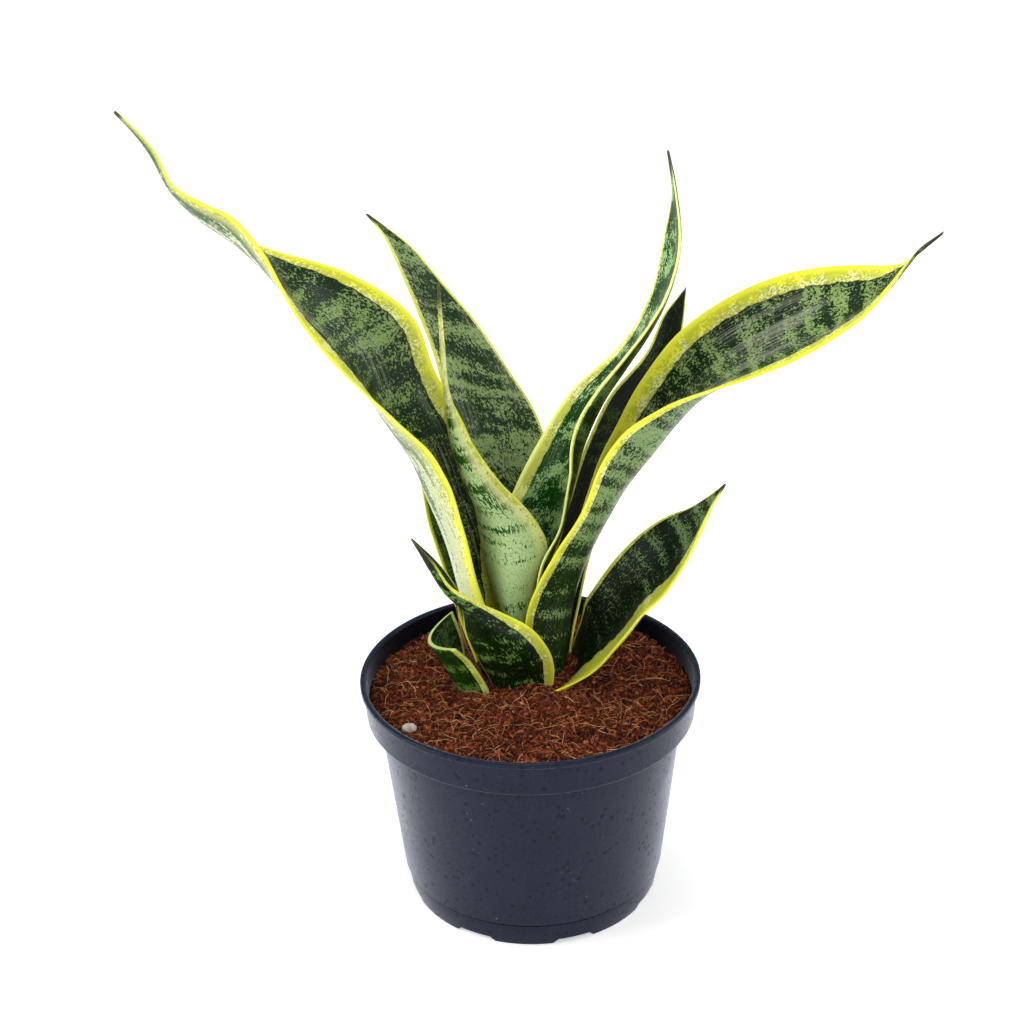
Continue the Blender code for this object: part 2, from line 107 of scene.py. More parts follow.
def add_panel(name, place, size, power):
    """A square soft light that faces the middle of the plant."""
    light = bpy.data.lights.new(name, "AREA")
    light.shape = "SQUARE"
    light.size = size
    light.energy = power
    panel = bpy.data.objects.new(name, light)
    bpy.context.scene.collection.objects.link(panel)
    panel.location = place
    aim = PLANT_MIDDLE - Vector(place)
    panel.rotation_euler = aim.to_track_quat("-Z", "Y").to_euler()


add_panel("left_panel", (-1.25, -0.25, 0.95), 0.8, 15.0)
add_panel("right_panel", (1.2, 0.1, 0.8), 0.8, 7.0)
add_panel("top_panel", (0.0, 0.3, 1.5), 0.8, 9.0)
add_panel("front_panel", (0.2, -1.3, 1.3), 0.5, 7.0)

print("four panels light the plant")


# %% [markdown]
# ## Small helpers for modelling
#
# Blender's operators act on whatever is selected.  So each piece starts from nothing selected, and ends
# with its place in its mesh, its object at the origin, a material, and a body of the frame to move with.

# %% Helpers for modelling
def start_clean():
    """Leaves edit mode and deselects everything."""
    if bpy.context.object and bpy.context.object.mode != "OBJECT":
        bpy.ops.object.mode_set(mode="OBJECT")
    bpy.ops.object.select_all(action="DESELECT")


def choose(piece):
    """Makes one piece the selected and active one."""
    start_clean()
    piece.select_set(True)
    bpy.context.view_layer.objects.active = piece


def apply_modifier(piece, kind, **settings):
    """Adds one modifier to a piece, sets it and applies it."""
    choose(piece)
    modifier = piece.modifiers.new(kind.lower(), kind)
    for name, value in settings.items():
        setattr(modifier, name, value)
    bpy.ops.object.modifier_apply(modifier=modifier.name)


def finish_piece(piece, name, materials, nodes=(), smooth_angle=30):
    """Names a piece, settles it at the origin, gives it its materials and joins it to the frame."""
    choose(piece)
    bpy.ops.object.transform_apply(location=True, rotation=True, scale=True)
    bpy.ops.object.shade_smooth_by_angle(angle=math.radians(smooth_angle))
    piece.name = name
    piece.data.name = name
    slots = piece.data.materials
    for index, material in enumerate(materials):
        if index < len(slots):
            slots[index] = material
        else:
            slots.append(material)
    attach(piece, "root")
    if nodes:
        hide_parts(*nodes)
    print(name, "has", len(piece.data.polygons), "faces")


# %% [markdown]
# ## Small helpers for materials
#
# A material is a tree of nodes.  These helpers add one node in a line each, so that a recipe can be read
# from top to bottom.  A value that is a socket is linked, and any other value is set on the node.

# %% Helpers for materials
def add_node(tree, kind, values=None, **settings):
    """Adds a shader node, sets it, and links or sets its inputs."""
    made = tree.nodes.new("ShaderNode" + kind)
    for name, value in settings.items():
        setattr(made, name, value)
    for name, value in (values or {}).items():
        if isinstance(value, bpy.types.NodeSocket):
            tree.links.new(value, made.inputs[name])
        else:
            made.inputs[name].default_value = value
    return made


def calculate(tree, operation, first, second=0.0, third=0.0):
    """One sum on numbers."""
    return add_node(tree, "Math", {0: first, 1: second, 2: third}, operation=operation).outputs[0]


def times(tree, first, second):
    """The product of two numbers."""
    return calculate(tree, "MULTIPLY", first, second)


def step(tree, value, low, high, start=0.0, end=1.0):
    """Goes smoothly from start to end as the value goes from low to high."""
    values = {0: value, 1: low, 2: high, 3: start, 4: end}
    return add_node(tree, "MapRange", values, interpolation_type="SMOOTHSTEP").outputs[0]


def blend(tree, share, first, second):
    """Two colours mixed by a share from 0 to 1."""
    return add_node(tree, "Mix", {0: share, 6: first, 7: second}, data_type="RGBA").outputs[2]


def grain(tree, place, scale, detail=2.0, roughness=0.55):
    """A cloudy noise from 0 to 1 on a place."""
    values = {"Vector": place, "Scale": scale, "Detail": detail, "Roughness": roughness}
    return add_node(tree, "TexNoise", values).outputs[0]


def stretched(tree, place, scale):
    """A place stretched by three scales."""
    return add_node(tree, "Mapping", {0: place, 3: scale}).outputs[0]


def new_material(name):
    """An empty material with its shader.  Returns the material, its tree and the shader."""
    material = bpy.data.materials.new(name)
    material.use_nodes = True
    tree = material.node_tree
    return material, tree, tree.nodes["Principled BSDF"]


def object_place(tree):
    return add_node(tree, "TexCoord").outputs["Object"]


def distance(tree, place):
    """How far a place is from the origin."""
    return add_node(tree, "VectorMath", {0: place}, operation="LENGTH").outputs["Value"]


def link(tree, source, shader, name):
    tree.links.new(source, shader.inputs[name])


def bump(tree, height, distance, strength=1.0, below=None):
    """A bumpy surface from a height, on top of another bumpy surface if one is given."""
    values = {"Height": height, "Distance": distance, "Strength": strength}
    if below:
        values["Normal"] = below
    return add_node(tree, "Bump", values).outputs[0]


print("the helpers are ready")


# %% [markdown]
# The room is white along the horizon and dimmer overhead, as a white cove is.  The bright band shows on the
# pot's rounded sides, and the dim ceiling keeps the gaps between the leaves dark.

# %% The white room
room = bpy.data.worlds.new("white_room")
bpy.context.scene.world = room
room.use_nodes = True
room_tree = room.node_tree
direction = add_node(room_tree, "TexCoord").outputs["Generated"]
rise = add_node(room_tree, "SeparateXYZ", {0: direction}).outputs["Z"]
background = room_tree.nodes["Background"]
background.inputs["Color"].default_value = (1.0, 1.0, 1.0, 1.0)
link(room_tree, step(room_tree, rise, 0.10, 0.45, 1.05, 0.26), background, "Strength")
print("the room is white")


# %% [markdown]
# ## The floor
#
# A wide pale floor under the pot.  It isn't part of the plant, so it isn't joined to the frame.

# %% Floor
FLOOR_SIZE = 24.0
FLOOR_GAP = 0.2 * MM
start_clean()
bpy.ops.mesh.primitive_plane_add(size=FLOOR_SIZE, location=(0.0, 0.0, -FLOOR_GAP))
floor = bpy.context.object
floor.name = "studio_floor"
floor_paint, floor_tree, floor_shader = new_material("studio_floor_paint")
floor_shader.inputs["Base Color"].default_value = (0.80, 0.80, 0.80, 1.0)
floor_shader.inputs["Roughness"].default_value = 0.9
floor_shader.inputs["Specular IOR Level"].default_value = 0.1
floor_shader.inputs["Emission Color"].default_value = (1.0, 1.0, 1.0, 1.0)
# Painted light: the floor gives off light, less of it near the pot, which paints a soft shade round the pot.
from_pot = distance(floor_tree, object_place(floor_tree))
link(floor_tree, step(floor_tree, from_pot, 0.1, 0.7, 0.45, 0.80), floor_shader, "Emission Strength")
floor.data.materials.append(floor_paint)
print("the floor is laid")

# %% [markdown]
# ## The pot
#
# A nursery pot is blown or moulded from thin black plastic.  It has a rolled lip, a straight collar, a
# slanted body, a mould line above the foot and a foot ring cut by drainage notches.  It could be a cylinder
# that is scaled, but the many small steps read best when a circle is extruded ring by ring, up or down and
# in or out, along the pot's outline, as it would be drawn for a lathe.  Notches and holes are cut afterwards.

# %% The pot's outline
SIDES = 192
FOOT_RADIUS = 64.2 * MM
WALL = 1.6 * MM
LIP_OVERHANG = 1.6 * MM
LIP_HEIGHT = 2.6 * MM
COLLAR_HEIGHT = 18.5 * MM
COLLAR_TAPER = 1.0 * MM
COLLAR_STEP = 6.0 * MM
STEP_DROP = 2.0 * MM
CREASE_HEIGHT = 13.7 * MM
CREASE_STEP = 0.7 * MM
CREASE_FLARE = 2.2 * MM
FLOOR_HEIGHT = 6.0 * MM
FLOOR_FLARE = 0.8 * MM
FOOT_RING_WIDTH = 3.0 * MM

collar_top = RIM_RADIUS - LIP_OVERHANG
collar_foot = collar_top - COLLAR_TAPER
collar_foot_height = POT_HEIGHT - COLLAR_HEIGHT
body_top = collar_foot - COLLAR_STEP
crease_radius = FOOT_RADIUS + CREASE_FLARE
inner_step_height = collar_foot_height + STEP_DROP
floor_top = FLOOR_HEIGHT + WALL


def round_corner(before, corner, after, radius, points=4):
    """The points of a small arc that rounds one corner of an outline."""
    before, corner, after = Vector(before), Vector(corner), Vector(after)
    towards = (before - corner).normalized()
    onwards = (after - corner).normalized()
    start = corner + towards * radius
    end = corner + onwards * radius
    arc = []
    for i in range(points + 1):
        t = i / points
        arc.append(tuple(start * (1 - t) ** 2 + corner * 2 * t * (1 - t) + end * t**2))
    return arc


def rounded(outline):
    """An outline of (radius, height, rounding) with each corner rounded as its third number says."""
    points = []
    for i, (radius, height, rounding) in enumerate(outline):
        if rounding and 0 < i < len(outline) - 1:
            points += round_corner(outline[i - 1][:2], (radius, height), outline[i + 1][:2], rounding)
        else:
            points.append((radius, height))
    return points


POT_OUTLINE = [
    (6 * MM, floor_top, 0),
    (40 * MM, floor_top, 0),
    (FOOT_RADIUS + FLOOR_FLARE - WALL, floor_top, 1.2 * MM),
    (body_top - WALL, inner_step_height - 0.5 * MM, 0.4 * MM),
    (collar_foot - WALL, inner_step_height, 0.6 * MM),
    (collar_top - WALL, POT_HEIGHT - 0.8 * MM, 0.4 * MM),
    (collar_top - 0.4 * MM, POT_HEIGHT, 0.5 * MM),
    (RIM_RADIUS, POT_HEIGHT, 0.9 * MM),
    (RIM_RADIUS, POT_HEIGHT - LIP_HEIGHT, 0.5 * MM),
    (collar_top, POT_HEIGHT - LIP_HEIGHT - 0.3 * MM, 0.4 * MM),
    (collar_foot, collar_foot_height, 0.9 * MM),
    (body_top, collar_foot_height - 0.9 * MM, 0.8 * MM),
    (crease_radius + CREASE_STEP, CREASE_HEIGHT, 0.2 * MM),
    (crease_radius - CREASE_STEP, CREASE_HEIGHT - 0.1 * MM, 0),
    (crease_radius - CREASE_STEP, CREASE_HEIGHT - 0.8 * MM, 0),
    (crease_radius - 0.1 * MM, CREASE_HEIGHT - 1.1 * MM, 0.1 * MM),
    (FOOT_RADIUS, 0.0, 0.5 * MM),
    (FOOT_RADIUS - FOOT_RING_WIDTH, 0.0, 0.4 * MM),
    (FOOT_RADIUS - FOOT_RING_WIDTH, FLOOR_HEIGHT, 0.6 * MM),
    (40 * MM, FLOOR_HEIGHT, 0),
    (6 * MM, FLOOR_HEIGHT, 0),
]
pot_rings = rounded(POT_OUTLINE)
print("the pot's outline has", len(pot_rings), "rings")


# %% Extrude the outline ring by ring
def extrude_rings(rings, sides):
    """A circle, extruded from ring to ring and closed with a face at both ends."""
    radius, height = rings[0]
    start_clean()
    bpy.ops.mesh.primitive_circle_add(vertices=sides, radius=radius, location=(AXIS_X, 0.0, height))
    turned = bpy.context.object
    bpy.ops.object.mode_set(mode="EDIT")
    bpy.ops.mesh.select_all(action="SELECT")
    for new_radius, new_height in rings[1:]:
        rise = (0.0, 0.0, new_height - height)
        bpy.ops.mesh.extrude_region_move(TRANSFORM_OT_translate={"value": rise})
        grow = new_radius / radius
        bpy.ops.transform.resize(value=(grow, grow, 1.0), center_override=(AXIS_X, 0.0, new_height))
        radius, height = new_radius, new_height
    bpy.ops.mesh.select_all(action="SELECT")
    bpy.ops.mesh.fill_holes(sides=0)
    bpy.ops.mesh.select_all(action="SELECT")
    bpy.ops.mesh.normals_make_consistent(inside=False)
    bpy.ops.object.mode_set(mode="OBJECT")
    return turned


pot = extrude_rings(pot_rings, SIDES)
print("the pot has", len(pot.data.vertices), "points")

# %% [markdown]
# Eight notches in the foot ring let water out from under the pot, and eight holes let it out of the floor.
# One wedge and one peg are made, copied round the axis, and taken out of the pot with a boolean.

# %% Cut the notches and the drain holes
NOTCH_COUNT = 8
NOTCH_FIRST_ANGLE = math.radians(-73)
NOTCH_WIDTH = 22 * MM
NOTCH_HEIGHT = 2.6 * MM
NOTCH_SLANT = 3.0 * MM
DRAIN_RADIUS = 4 * MM
DRAIN_RING_RADIUS = 44 * MM
notch_turn = 2 * math.pi / NOTCH_COUNT


def add_wedge(angle):
    """A wedge across the foot ring, narrower at its top."""
    ring = FOOT_RADIUS - FOOT_RING_WIDTH / 2
    bpy.ops.mesh.primitive_cube_add(size=1.0)
    wedge = bpy.context.object
    for corner in wedge.data.vertices:
        up = corner.co.z > 0
        half = NOTCH_WIDTH / 2 + (-NOTCH_SLANT if up else NOTCH_SLANT)
        corner.co.x = math.copysign(4 * FOOT_RING_WIDTH, corner.co.x)
        corner.co.y = math.copysign(half, corner.co.y)
        corner.co.z = NOTCH_HEIGHT if up else -NOTCH_HEIGHT
    wedge.location = (AXIS_X + ring * math.cos(angle), ring * math.sin(angle), 0.0)
    wedge.rotation_euler = (0.0, 0.0, angle)
    return wedge


def add_peg(angle):
    place = (AXIS_X + DRAIN_RING_RADIUS * math.cos(angle), DRAIN_RING_RADIUS * math.sin(angle), FLOOR_HEIGHT)
    bpy.ops.mesh.primitive_cylinder_add(vertices=24, radius=DRAIN_RADIUS, depth=8 * WALL, location=place)
    return bpy.context.object


start_clean()
cutters = [add_wedge(NOTCH_FIRST_ANGLE + i * notch_turn) for i in range(NOTCH_COUNT)]
cutters += [add_peg(NOTCH_FIRST_ANGLE + (i + 0.5) * notch_turn) for i in range(NOTCH_COUNT)]
start_clean()
for cutter in cutters:
    cutter.select_set(True)
bpy.context.view_layer.objects.active = cutters[0]
bpy.ops.object.join()
apply_modifier(pot, "BOOLEAN", object=cutters[0], operation="DIFFERENCE", solver="EXACT")
bpy.data.objects.remove(cutters[0])
print("cut", NOTCH_COUNT, "notches and", NOTCH_COUNT, "drain holes")


# %% [markdown]
# The plastic is a blue-black satin.  A pot that has been through a nursery shows small dark pits, pale dust
# in patches, and fine rub marks, more of them low down.  The pits are points of a Voronoi pattern, thinned
# out by a cloudy noise, and the rub marks are a noise stretched along the height.

# %% Pot plastic
def dots(tree, place, scale, size, softness):
    """1 inside round dots and 0 between them.  The size is a share of the space between the dots."""
    nearest = add_node(tree, "TexVoronoi", {"Vector": place, "Scale": scale}).outputs["Distance"]
    return step(tree, calculate(tree, "SUBTRACT", nearest, size), 0.0, softness, 1.0, 0.0)


def make_pot_plastic():
    material, tree, shader = new_material("pot_plastic_satin")
    place = object_place(tree)
    clouds = grain(tree, place, 35.0, 4.0)
    chance = grain(tree, place, 70.0, 2.0)
    large_size = step(tree, chance, 0.34, 0.62, 0.03, 0.25)
    small_size = step(tree, chance, 0.66, 0.36, 0.04, 0.26)
    large_pit = dots(tree, place, 230.0, large_size, 0.06)
    small_pit = dots(tree, place, 460.0, small_size, 0.08)
    pit = calculate(tree, "MAXIMUM", large_pit, small_pit)
    rub = grain(tree, stretched(tree, place, (900.0, 900.0, 60.0)), 1.0, 2.0)
    rub_mark = step(tree, rub, 0.60, 0.78)
    powder = step(tree, grain(tree, place, 900.0), 0.6, 0.75)
    dust = times(tree, step(tree, clouds, 0.52, 0.72), powder)
    base = blend(tree, clouds, paint(14, 23, 39), paint(20, 29, 47))
    dusty = blend(tree, times(tree, dust, 0.30), base, paint(120, 122, 130))
    rubbed = blend(tree, times(tree, rub_mark, 0.05), dusty, paint(110, 116, 134))
    pitted = blend(tree, times(tree, pit, 0.70), rubbed, paint(4, 6, 12))
    fleck = times(tree, dots(tree, place, 130.0, 0.02, 0.03), step(tree, chance, 0.5, 0.6))
    flecked = blend(tree, fleck, pitted, paint(128, 136, 150))
    spot = add_node(tree, "SeparateXYZ", {0: place}).outputs
    beside = calculate(tree, "SUBTRACT", spot["X"], AXIS_X)
    from_axis = add_node(tree, "CombineXYZ", {0: beside, 1: spot["Y"]}).outputs[0]
    radius = distance(tree, from_axis)
    # Painted shade: inside the collar, above the inner step, the plastic is painted near-black, as shade
    # falls there.
    inside = step(tree, radius, collar_foot - 0.5 * MM, collar_foot - 0.3 * MM, 0.85, 0.0)
    above = step(tree, spot["Z"], inner_step_height + 1 * MM, inner_step_height + 2 * MM)
    shaded = blend(tree, times(tree, inside, above), flecked, paint(3, 4, 7))
    link(tree, shaded, shader, "Base Color")
    dull = times(tree, pit, 0.2)
    link(tree, calculate(tree, "ADD", step(tree, clouds, 0.3, 0.7, 0.24, 0.34), dull), shader, "Roughness")
    peel = bump(tree, grain(tree, place, 420.0, 3.0), 0.12 * MM, 0.3)
    link(tree, bump(tree, pit, -0.12 * MM, 0.22, peel), shader, "Normal")
    shader.inputs["Specular IOR Level"].default_value = 0.13
    shader.inputs["Sheen Weight"].default_value = 0.55
    shader.inputs["Sheen Roughness"].default_value = 0.3
    shader.inputs["Sheen Tint"].default_value = paint(214, 220, 244)
    return material


finish_piece(pot, "moulded_pot", [make_pot_plastic()], ["pot"])

# %% [markdown]
# ## The potting mix
#
# The mix is coir and peat: a loose, reddish-brown surface of crumbs and short golden fibres, with dark gaps
# between them.  A grid as wide as the pot gives the ground.  Its corners outside the pot are deleted and its
# rim is pulled to a circle.  Its height comes from three sizes of noise, and it is extruded down to fill the
# pot.

# %% Height of the mix
MIX_TOP = 109.7 * MM
MIX_RADIUS = 81.2 * MM
CROWN = Vector((AXIS_X - 3 * MM, 12 * MM))
CROWN_RISE = 2.6 * MM
CROWN_SPREAD = 34 * MM
MOUND = Vector((AXIS_X - 1 * MM, -9 * MM))
MOUND_RISE = 4.2 * MM
MOUND_SPREAD = 7 * MM
EDGE_DROP = 2.4 * MM
EDGE_WIDTH = 9 * MM
LARGE_LUMP = 15 * MM
MIDDLE_LUMP = 5.5 * MM
SMALL_LUMP = 1.9 * MM


def clumps(x, y, size, seed):
    """A smooth random height from about -1 to 1, with lumps of the given size."""
    return noise.noise(Vector((x / size, y / size, seed)))


def mix_height(x, y):
    """The mix rises towards the plant and falls a little at the wall, and it is uneven everywhere."""
    radius = math.hypot(x - AXIS_X, y)
    from_crown = math.hypot(x - CROWN.x, y - CROWN.y)
    rise = CROWN_RISE * math.exp(-((from_crown / CROWN_SPREAD) ** 2))
    from_mound = math.hypot(x - MOUND.x, y - MOUND.y)
    rise += MOUND_RISE * math.exp(-((from_mound / MOUND_SPREAD) ** 2))
    drop = EDGE_DROP * max(0.0, (radius - MIX_RADIUS + EDGE_WIDTH) / EDGE_WIDTH) ** 2
    large = 2.0 * MM * clumps(x, y, LARGE_LUMP, 1.0)
    middle = 1.5 * MM * (0.5 - abs(clumps(x, y, MIDDLE_LUMP, 2.0)) * 2)
    small = 0.8 * MM * clumps(x, y, SMALL_LUMP, 3.0)
    return MIX_TOP + rise - drop + large + middle + small


# %% Ground of the mix
GROUND_CELLS = 230


def build_ground():
    start_clean()
    place = (AXIS_X, 0, MIX_TOP)
    bpy.ops.mesh.primitive_grid_add(
        x_subdivisions=GROUND_CELLS, y_subdivisions=GROUND_CELLS, size=2 * MIX_RADIUS, location=place
    )
    ground = bpy.context.object
    bpy.ops.object.transform_apply(location=True)
    cell = 2 * MIX_RADIUS / GROUND_CELLS
    bpy.ops.object.mode_set(mode="EDIT")
    bpy.ops.mesh.select_mode(type="FACE")
    bpy.ops.mesh.select_all(action="DESELECT")
    bpy.ops.object.mode_set(mode="OBJECT")
    for face in ground.data.polygons:
        face.select = math.hypot(face.center.x - AXIS_X, face.center.y) > MIX_RADIUS - cell * 0.3
    bpy.ops.object.mode_set(mode="EDIT")
    bpy.ops.mesh.delete(type="FACE")
    bpy.ops.object.mode_set(mode="OBJECT")
    rim = rim_points(ground.data)
    for point in ground.data.vertices:
        x, y = point.co.x - AXIS_X, point.co.y
        if point.index in rim:
            pull = MIX_RADIUS / math.hypot(x, y)
            x, y = x * pull, y * pull
        point.co = (AXIS_X + x, y, mix_height(AXIS_X + x, y))
    return ground


def rim_points(mesh):
    """The numbers of the points on edges that only one face uses."""
    uses = {}
    for face in mesh.polygons:
        for key in face.edge_keys:
            uses[key] = uses.get(key, 0) + 1
    return {number for key, count in uses.items() if count == 1 for number in key}


ground = build_ground()
print("the ground has", len(ground.data.vertices), "points")

# %% Fill the pot under the ground
MIX_FLOOR = floor_top + 0.4 * MM
side_gap = WALL + 0.6 * MM
side_rings = [
    (collar_foot - side_gap, inner_step_height + 0.4 * MM),
    (body_top - side_gap, inner_step_height - 0.8 * MM),
    (FOOT_RADIUS + FLOOR_FLARE - side_gap, MIX_FLOOR),
]
choose(ground)
bpy.ops.object.mode_set(mode="EDIT")
bpy.ops.mesh.select_mode(type="EDGE")
bpy.ops.mesh.select_all(action="DESELECT")
bpy.ops.mesh.select_non_manifold()
ring_radius = MIX_RADIUS
for number, (next_radius, next_height) in enumerate(side_rings):
    bpy.ops.mesh.extrude_region_move()
    shrink = next_radius / ring_radius
    flatten = 0.0 if number == 0 else 1.0
    bpy.ops.transform.resize(value=(shrink, shrink, flatten), center_override=(AXIS_X, 0.0, next_height))
    if number:
        bpy.ops.transform.translate(value=(0.0, 0.0, next_height - side_rings[number - 1][1]))
    ring_radius = next_radius
bpy.ops.mesh.fill_holes(sides=0)
bpy.ops.mesh.select_all(action="SELECT")
bpy.ops.mesh.normals_make_consistent(inside=False)
bpy.ops.object.mode_set(mode="OBJECT")
print("the mix is filled down to", round(MIX_FLOOR / MM, 1), "mm")


# %% [markdown]
# The mix has three browns, mixed by noises of different sizes, with painted shade in the ground's hollows and
# painted light on its rises.  Each crumb and fibre carries a tone of its own, a number from 0 to 1 that is
# stored on its points.

# %% Potting mix material
def make_mix(name, dark, middle, light, patch_strength=1.0):
    material, tree, shader = new_material(name)
    place = object_place(tree)
    tone = add_node(tree, "Attribute", attribute_name="tone").outputs["Fac"]
    fine = grain(tree, place, 900.0, 4.0, 0.7)
    patch = grain(tree, place, 120.0, 3.0)
    mixed = calculate(tree, "MULTIPLY_ADD", tone, 0.6, times(tree, fine, 0.55))
    brown = blend(tree, step(tree, mixed, 0.28, 0.62), dark, middle)
    bright = blend(tree, step(tree, mixed, 0.62, 0.98), brown, light)
    share = times(tree, step(tree, patch, 0.45, 0.7), 0.35 * patch_strength)
    link(tree, blend(tree, share, bright, dark), shader, "Base Color")
    shader.inputs["Roughness"].default_value = 0.92
    shader.inputs["Specular IOR Level"].default_value = 0.2
    link(tree, bump(tree, fine, 0.5 * MM, 0.8), shader, "Normal")
    return material


def set_tone(piece, tones):
    """Stores one tone for each point."""
    store = piece.data.attributes.new("tone", "FLOAT", "POINT")
    store.data.foreach_set("value", np.asarray(tones, dtype=np.float32))


# The ground's tone follows its height over the large lumps: painted shade in the hollows, painted light on
# the rises.
ground_points = [point.co for point in ground.data.vertices]
ground_heights = np.array([point.z for point in ground_points])
ground_level = np.array([MIX_TOP + 2 * MM * clumps(p.x, p.y, LARGE_LUMP, 1.0) for p in ground_points])
set_tone(ground, np.clip(0.45 + (ground_heights - ground_level) / (4.0 * MM), 0.0, 1.0))
coir = make_mix("coir_ground", paint(16, 6, 3), paint(66, 28, 14), paint(112, 60, 36))
finish_piece(ground, "mix_ground", [coir], ["potting_mix"], smooth_angle=60)


# %% [markdown]
# Crumbs are small lumps.  One ball of twenty triangles is a lump, and it is copied many times, each copy
# with its own size, turn and dents.  Fibres are thin bent sticks: one three-sided stick is extruded in five
# short lengths, and each copy is bent along its own curve and laid on the ground.

# %% One lump and one stick
chance = np.random.default_rng(7)


def points_of(piece):
    return np.array([tuple(point.co) for point in piece.data.vertices])


def faces_of(piece):
    return [list(face.vertices) for face in piece.data.polygons]


start_clean()
bpy.ops.mesh.primitive_ico_sphere_add(subdivisions=1, radius=0.6)
lump = bpy.context.object
lump_points, lump_faces = points_of(lump), faces_of(lump)
bpy.data.objects.remove(lump)

STICK_CUTS = 5
start_clean()
bpy.ops.mesh.primitive_circle_add(vertices=3, radius=1.0, fill_type="NGON")
stick = bpy.context.object
bpy.ops.object.mode_set(mode="EDIT")
bpy.ops.mesh.select_all(action="SELECT")
for cut_number in range(STICK_CUTS):
    bpy.ops.mesh.extrude_region_move(TRANSFORM_OT_translate={"value": (0.0, 0.0, 1.0 / STICK_CUTS)})
bpy.ops.mesh.select_all(action="SELECT")
bpy.ops.mesh.normals_make_consistent(inside=False)
bpy.ops.object.mode_set(mode="OBJECT")
stick_points, stick_faces = points_of(stick), faces_of(stick)
bpy.data.objects.remove(stick)
print("a lump has", len(lump_faces), "faces and a stick has", len(stick_faces))


# %% Scatter the crumbs
def gather(name, all_points, faces, tones):
    """One object from many copies of a shape."""
    count = len(all_points[0])
    mesh = bpy.data.meshes.new(name)
    every_face = [[number + i * count for number in face] for i in range(len(all_points)) for face in faces]
    mesh.from_pydata(np.concatenate(all_points).tolist(), [], every_face)
    piece = bpy.data.objects.new(name, mesh)
    bpy.context.scene.collection.objects.link(piece)
    set_tone(piece, np.repeat(tones, count))
    return piece


def random_turn():
    axis = Vector(chance.normal(size=3)).normalized()
    return np.array(Matrix.Rotation(chance.uniform(0, math.tau), 3, axis))


def random_spot(margin):
    """A place on the mix, evenly spread over the circle."""
    radius = (MIX_RADIUS - margin) * math.sqrt(chance.uniform())
    angle = chance.uniform(0, math.tau)
    return AXIS_X + radius * math.cos(angle), radius * math.sin(angle)


def scatter_crumbs(count, smallest, largest):
    made, tones = [], []
    for _ in range(count):
        size = smallest * (largest / smallest) ** chance.uniform() ** 1.6
        x, y = random_spot(size * 0.8)
        dents = chance.uniform(0.6, 1.3, size=(len(lump_points), 1))
        shape = lump_points * dents * chance.uniform(0.6, 1.2, size=3)
        place = np.array([x, y, mix_height(x, y) + size * 0.18])
        made.append((shape * size) @ random_turn().T + place)
        tones.append(chance.uniform(0.05, 1.0))
    return made, tones


crumb_shapes, crumb_tones = scatter_crumbs(9000, 0.6 * MM, 2.4 * MM)
crumbs = gather("crumbs", crumb_shapes, lump_faces, crumb_tones)
crumb_coir = make_mix("coir_crumbs", paint(12, 3, 2), paint(100, 41, 21), paint(188, 110, 70), 1.0)
finish_piece(crumbs, "mix_crumbs", [crumb_coir], smooth_angle=75)


# %% Lay the fibres
def bend_stick(length, thickness, curl, lift):
    """The stick's points, bent sideways and up along its length and thinned at its ends."""
    share = stick_points[:, 2]
    taper = np.where((share < 0.01) | (share > 0.99), 0.35, 1.0)
    side = curl * length * np.sin(share * math.pi * chance.uniform(0.7, 1.6) + chance.uniform(0, 2))
    up = lift * np.sin(share * math.pi) + 0.4 * MM * np.sin(share * 9 + chance.uniform(0, 6))
    y = side - side.mean() + stick_points[:, 0] * thickness * taper
    return np.stack([(share - 0.5) * length, y, up + stick_points[:, 1] * thickness * taper], axis=1)


def lay_fibres(count, lengths, thicknesses, lift, slope):
    """Fibres that follow the ground, each turned and tilted its own way."""
    made, tones = [], []
    for _ in range(count):
        length = lengths[0] * (lengths[1] / lengths[0]) ** chance.uniform()
        thickness = chance.uniform(*thicknesses)
        shape = bend_stick(length, thickness, chance.uniform(0.02, 0.25), chance.uniform(0, lift))
        x, y = random_spot(length * 0.35)
        turn = Matrix.Rotation(chance.uniform(0, math.tau), 3, "Z")
        tilt = Matrix.Rotation(chance.normal() * slope, 3, "Y")
        shape = shape @ np.array(turn @ tilt).T + np.array([x, y, 0.5 * MM])
        under = np.array([mix_height(px, py) for px, py in shape[:, :2]])
        shape[:, 2] += (under + under.mean()) / 2
        made.append(shape)
        tones.append(chance.uniform())
    return made, tones


thread_shapes, thread_tones = lay_fibres(5600, (2.0 * MM, 7.0 * MM), (0.13 * MM, 0.36 * MM), 1.0 * MM, 0.40)
threads = gather("threads", thread_shapes, stick_faces, thread_tones)
thread_coir = make_mix("coir_threads", paint(16, 4, 2), paint(112, 46, 22), paint(190, 108, 64), 0.9)
finish_piece(threads, "mix_threads", [thread_coir], smooth_angle=80)

fibre_shapes, fibre_tones = lay_fibres(850, (5.0 * MM, 20.0 * MM), (0.08 * MM, 0.18 * MM), 1.8 * MM, 0.16)
fibres = gather("fibres", fibre_shapes, stick_faces, fibre_tones)
straw = make_mix("coir_fibres", paint(116, 56, 26), paint(198, 130, 76), paint(244, 198, 142), 0.3)
finish_piece(fibres, "mix_fibres", [straw], smooth_angle=80)


# %% [markdown]
# ## The leaves
#
# A snake plant's leaf is one stiff blade, cupped like a trough and often twisted.  It is easiest to think of
# it as a row of ribs.  Each rib is given in millimetres from the pot's axis: the blade's left edge, its right
# edge, as seen on the inner face with the tip up, and how far the middle hangs back from the line between.
# A flat grid is the start.  Its rows are moved to a smooth curve through the ribs, and its columns to a
# smooth cup across them.  A solid wall and one subdivision then give the blade its thick, rounded body.

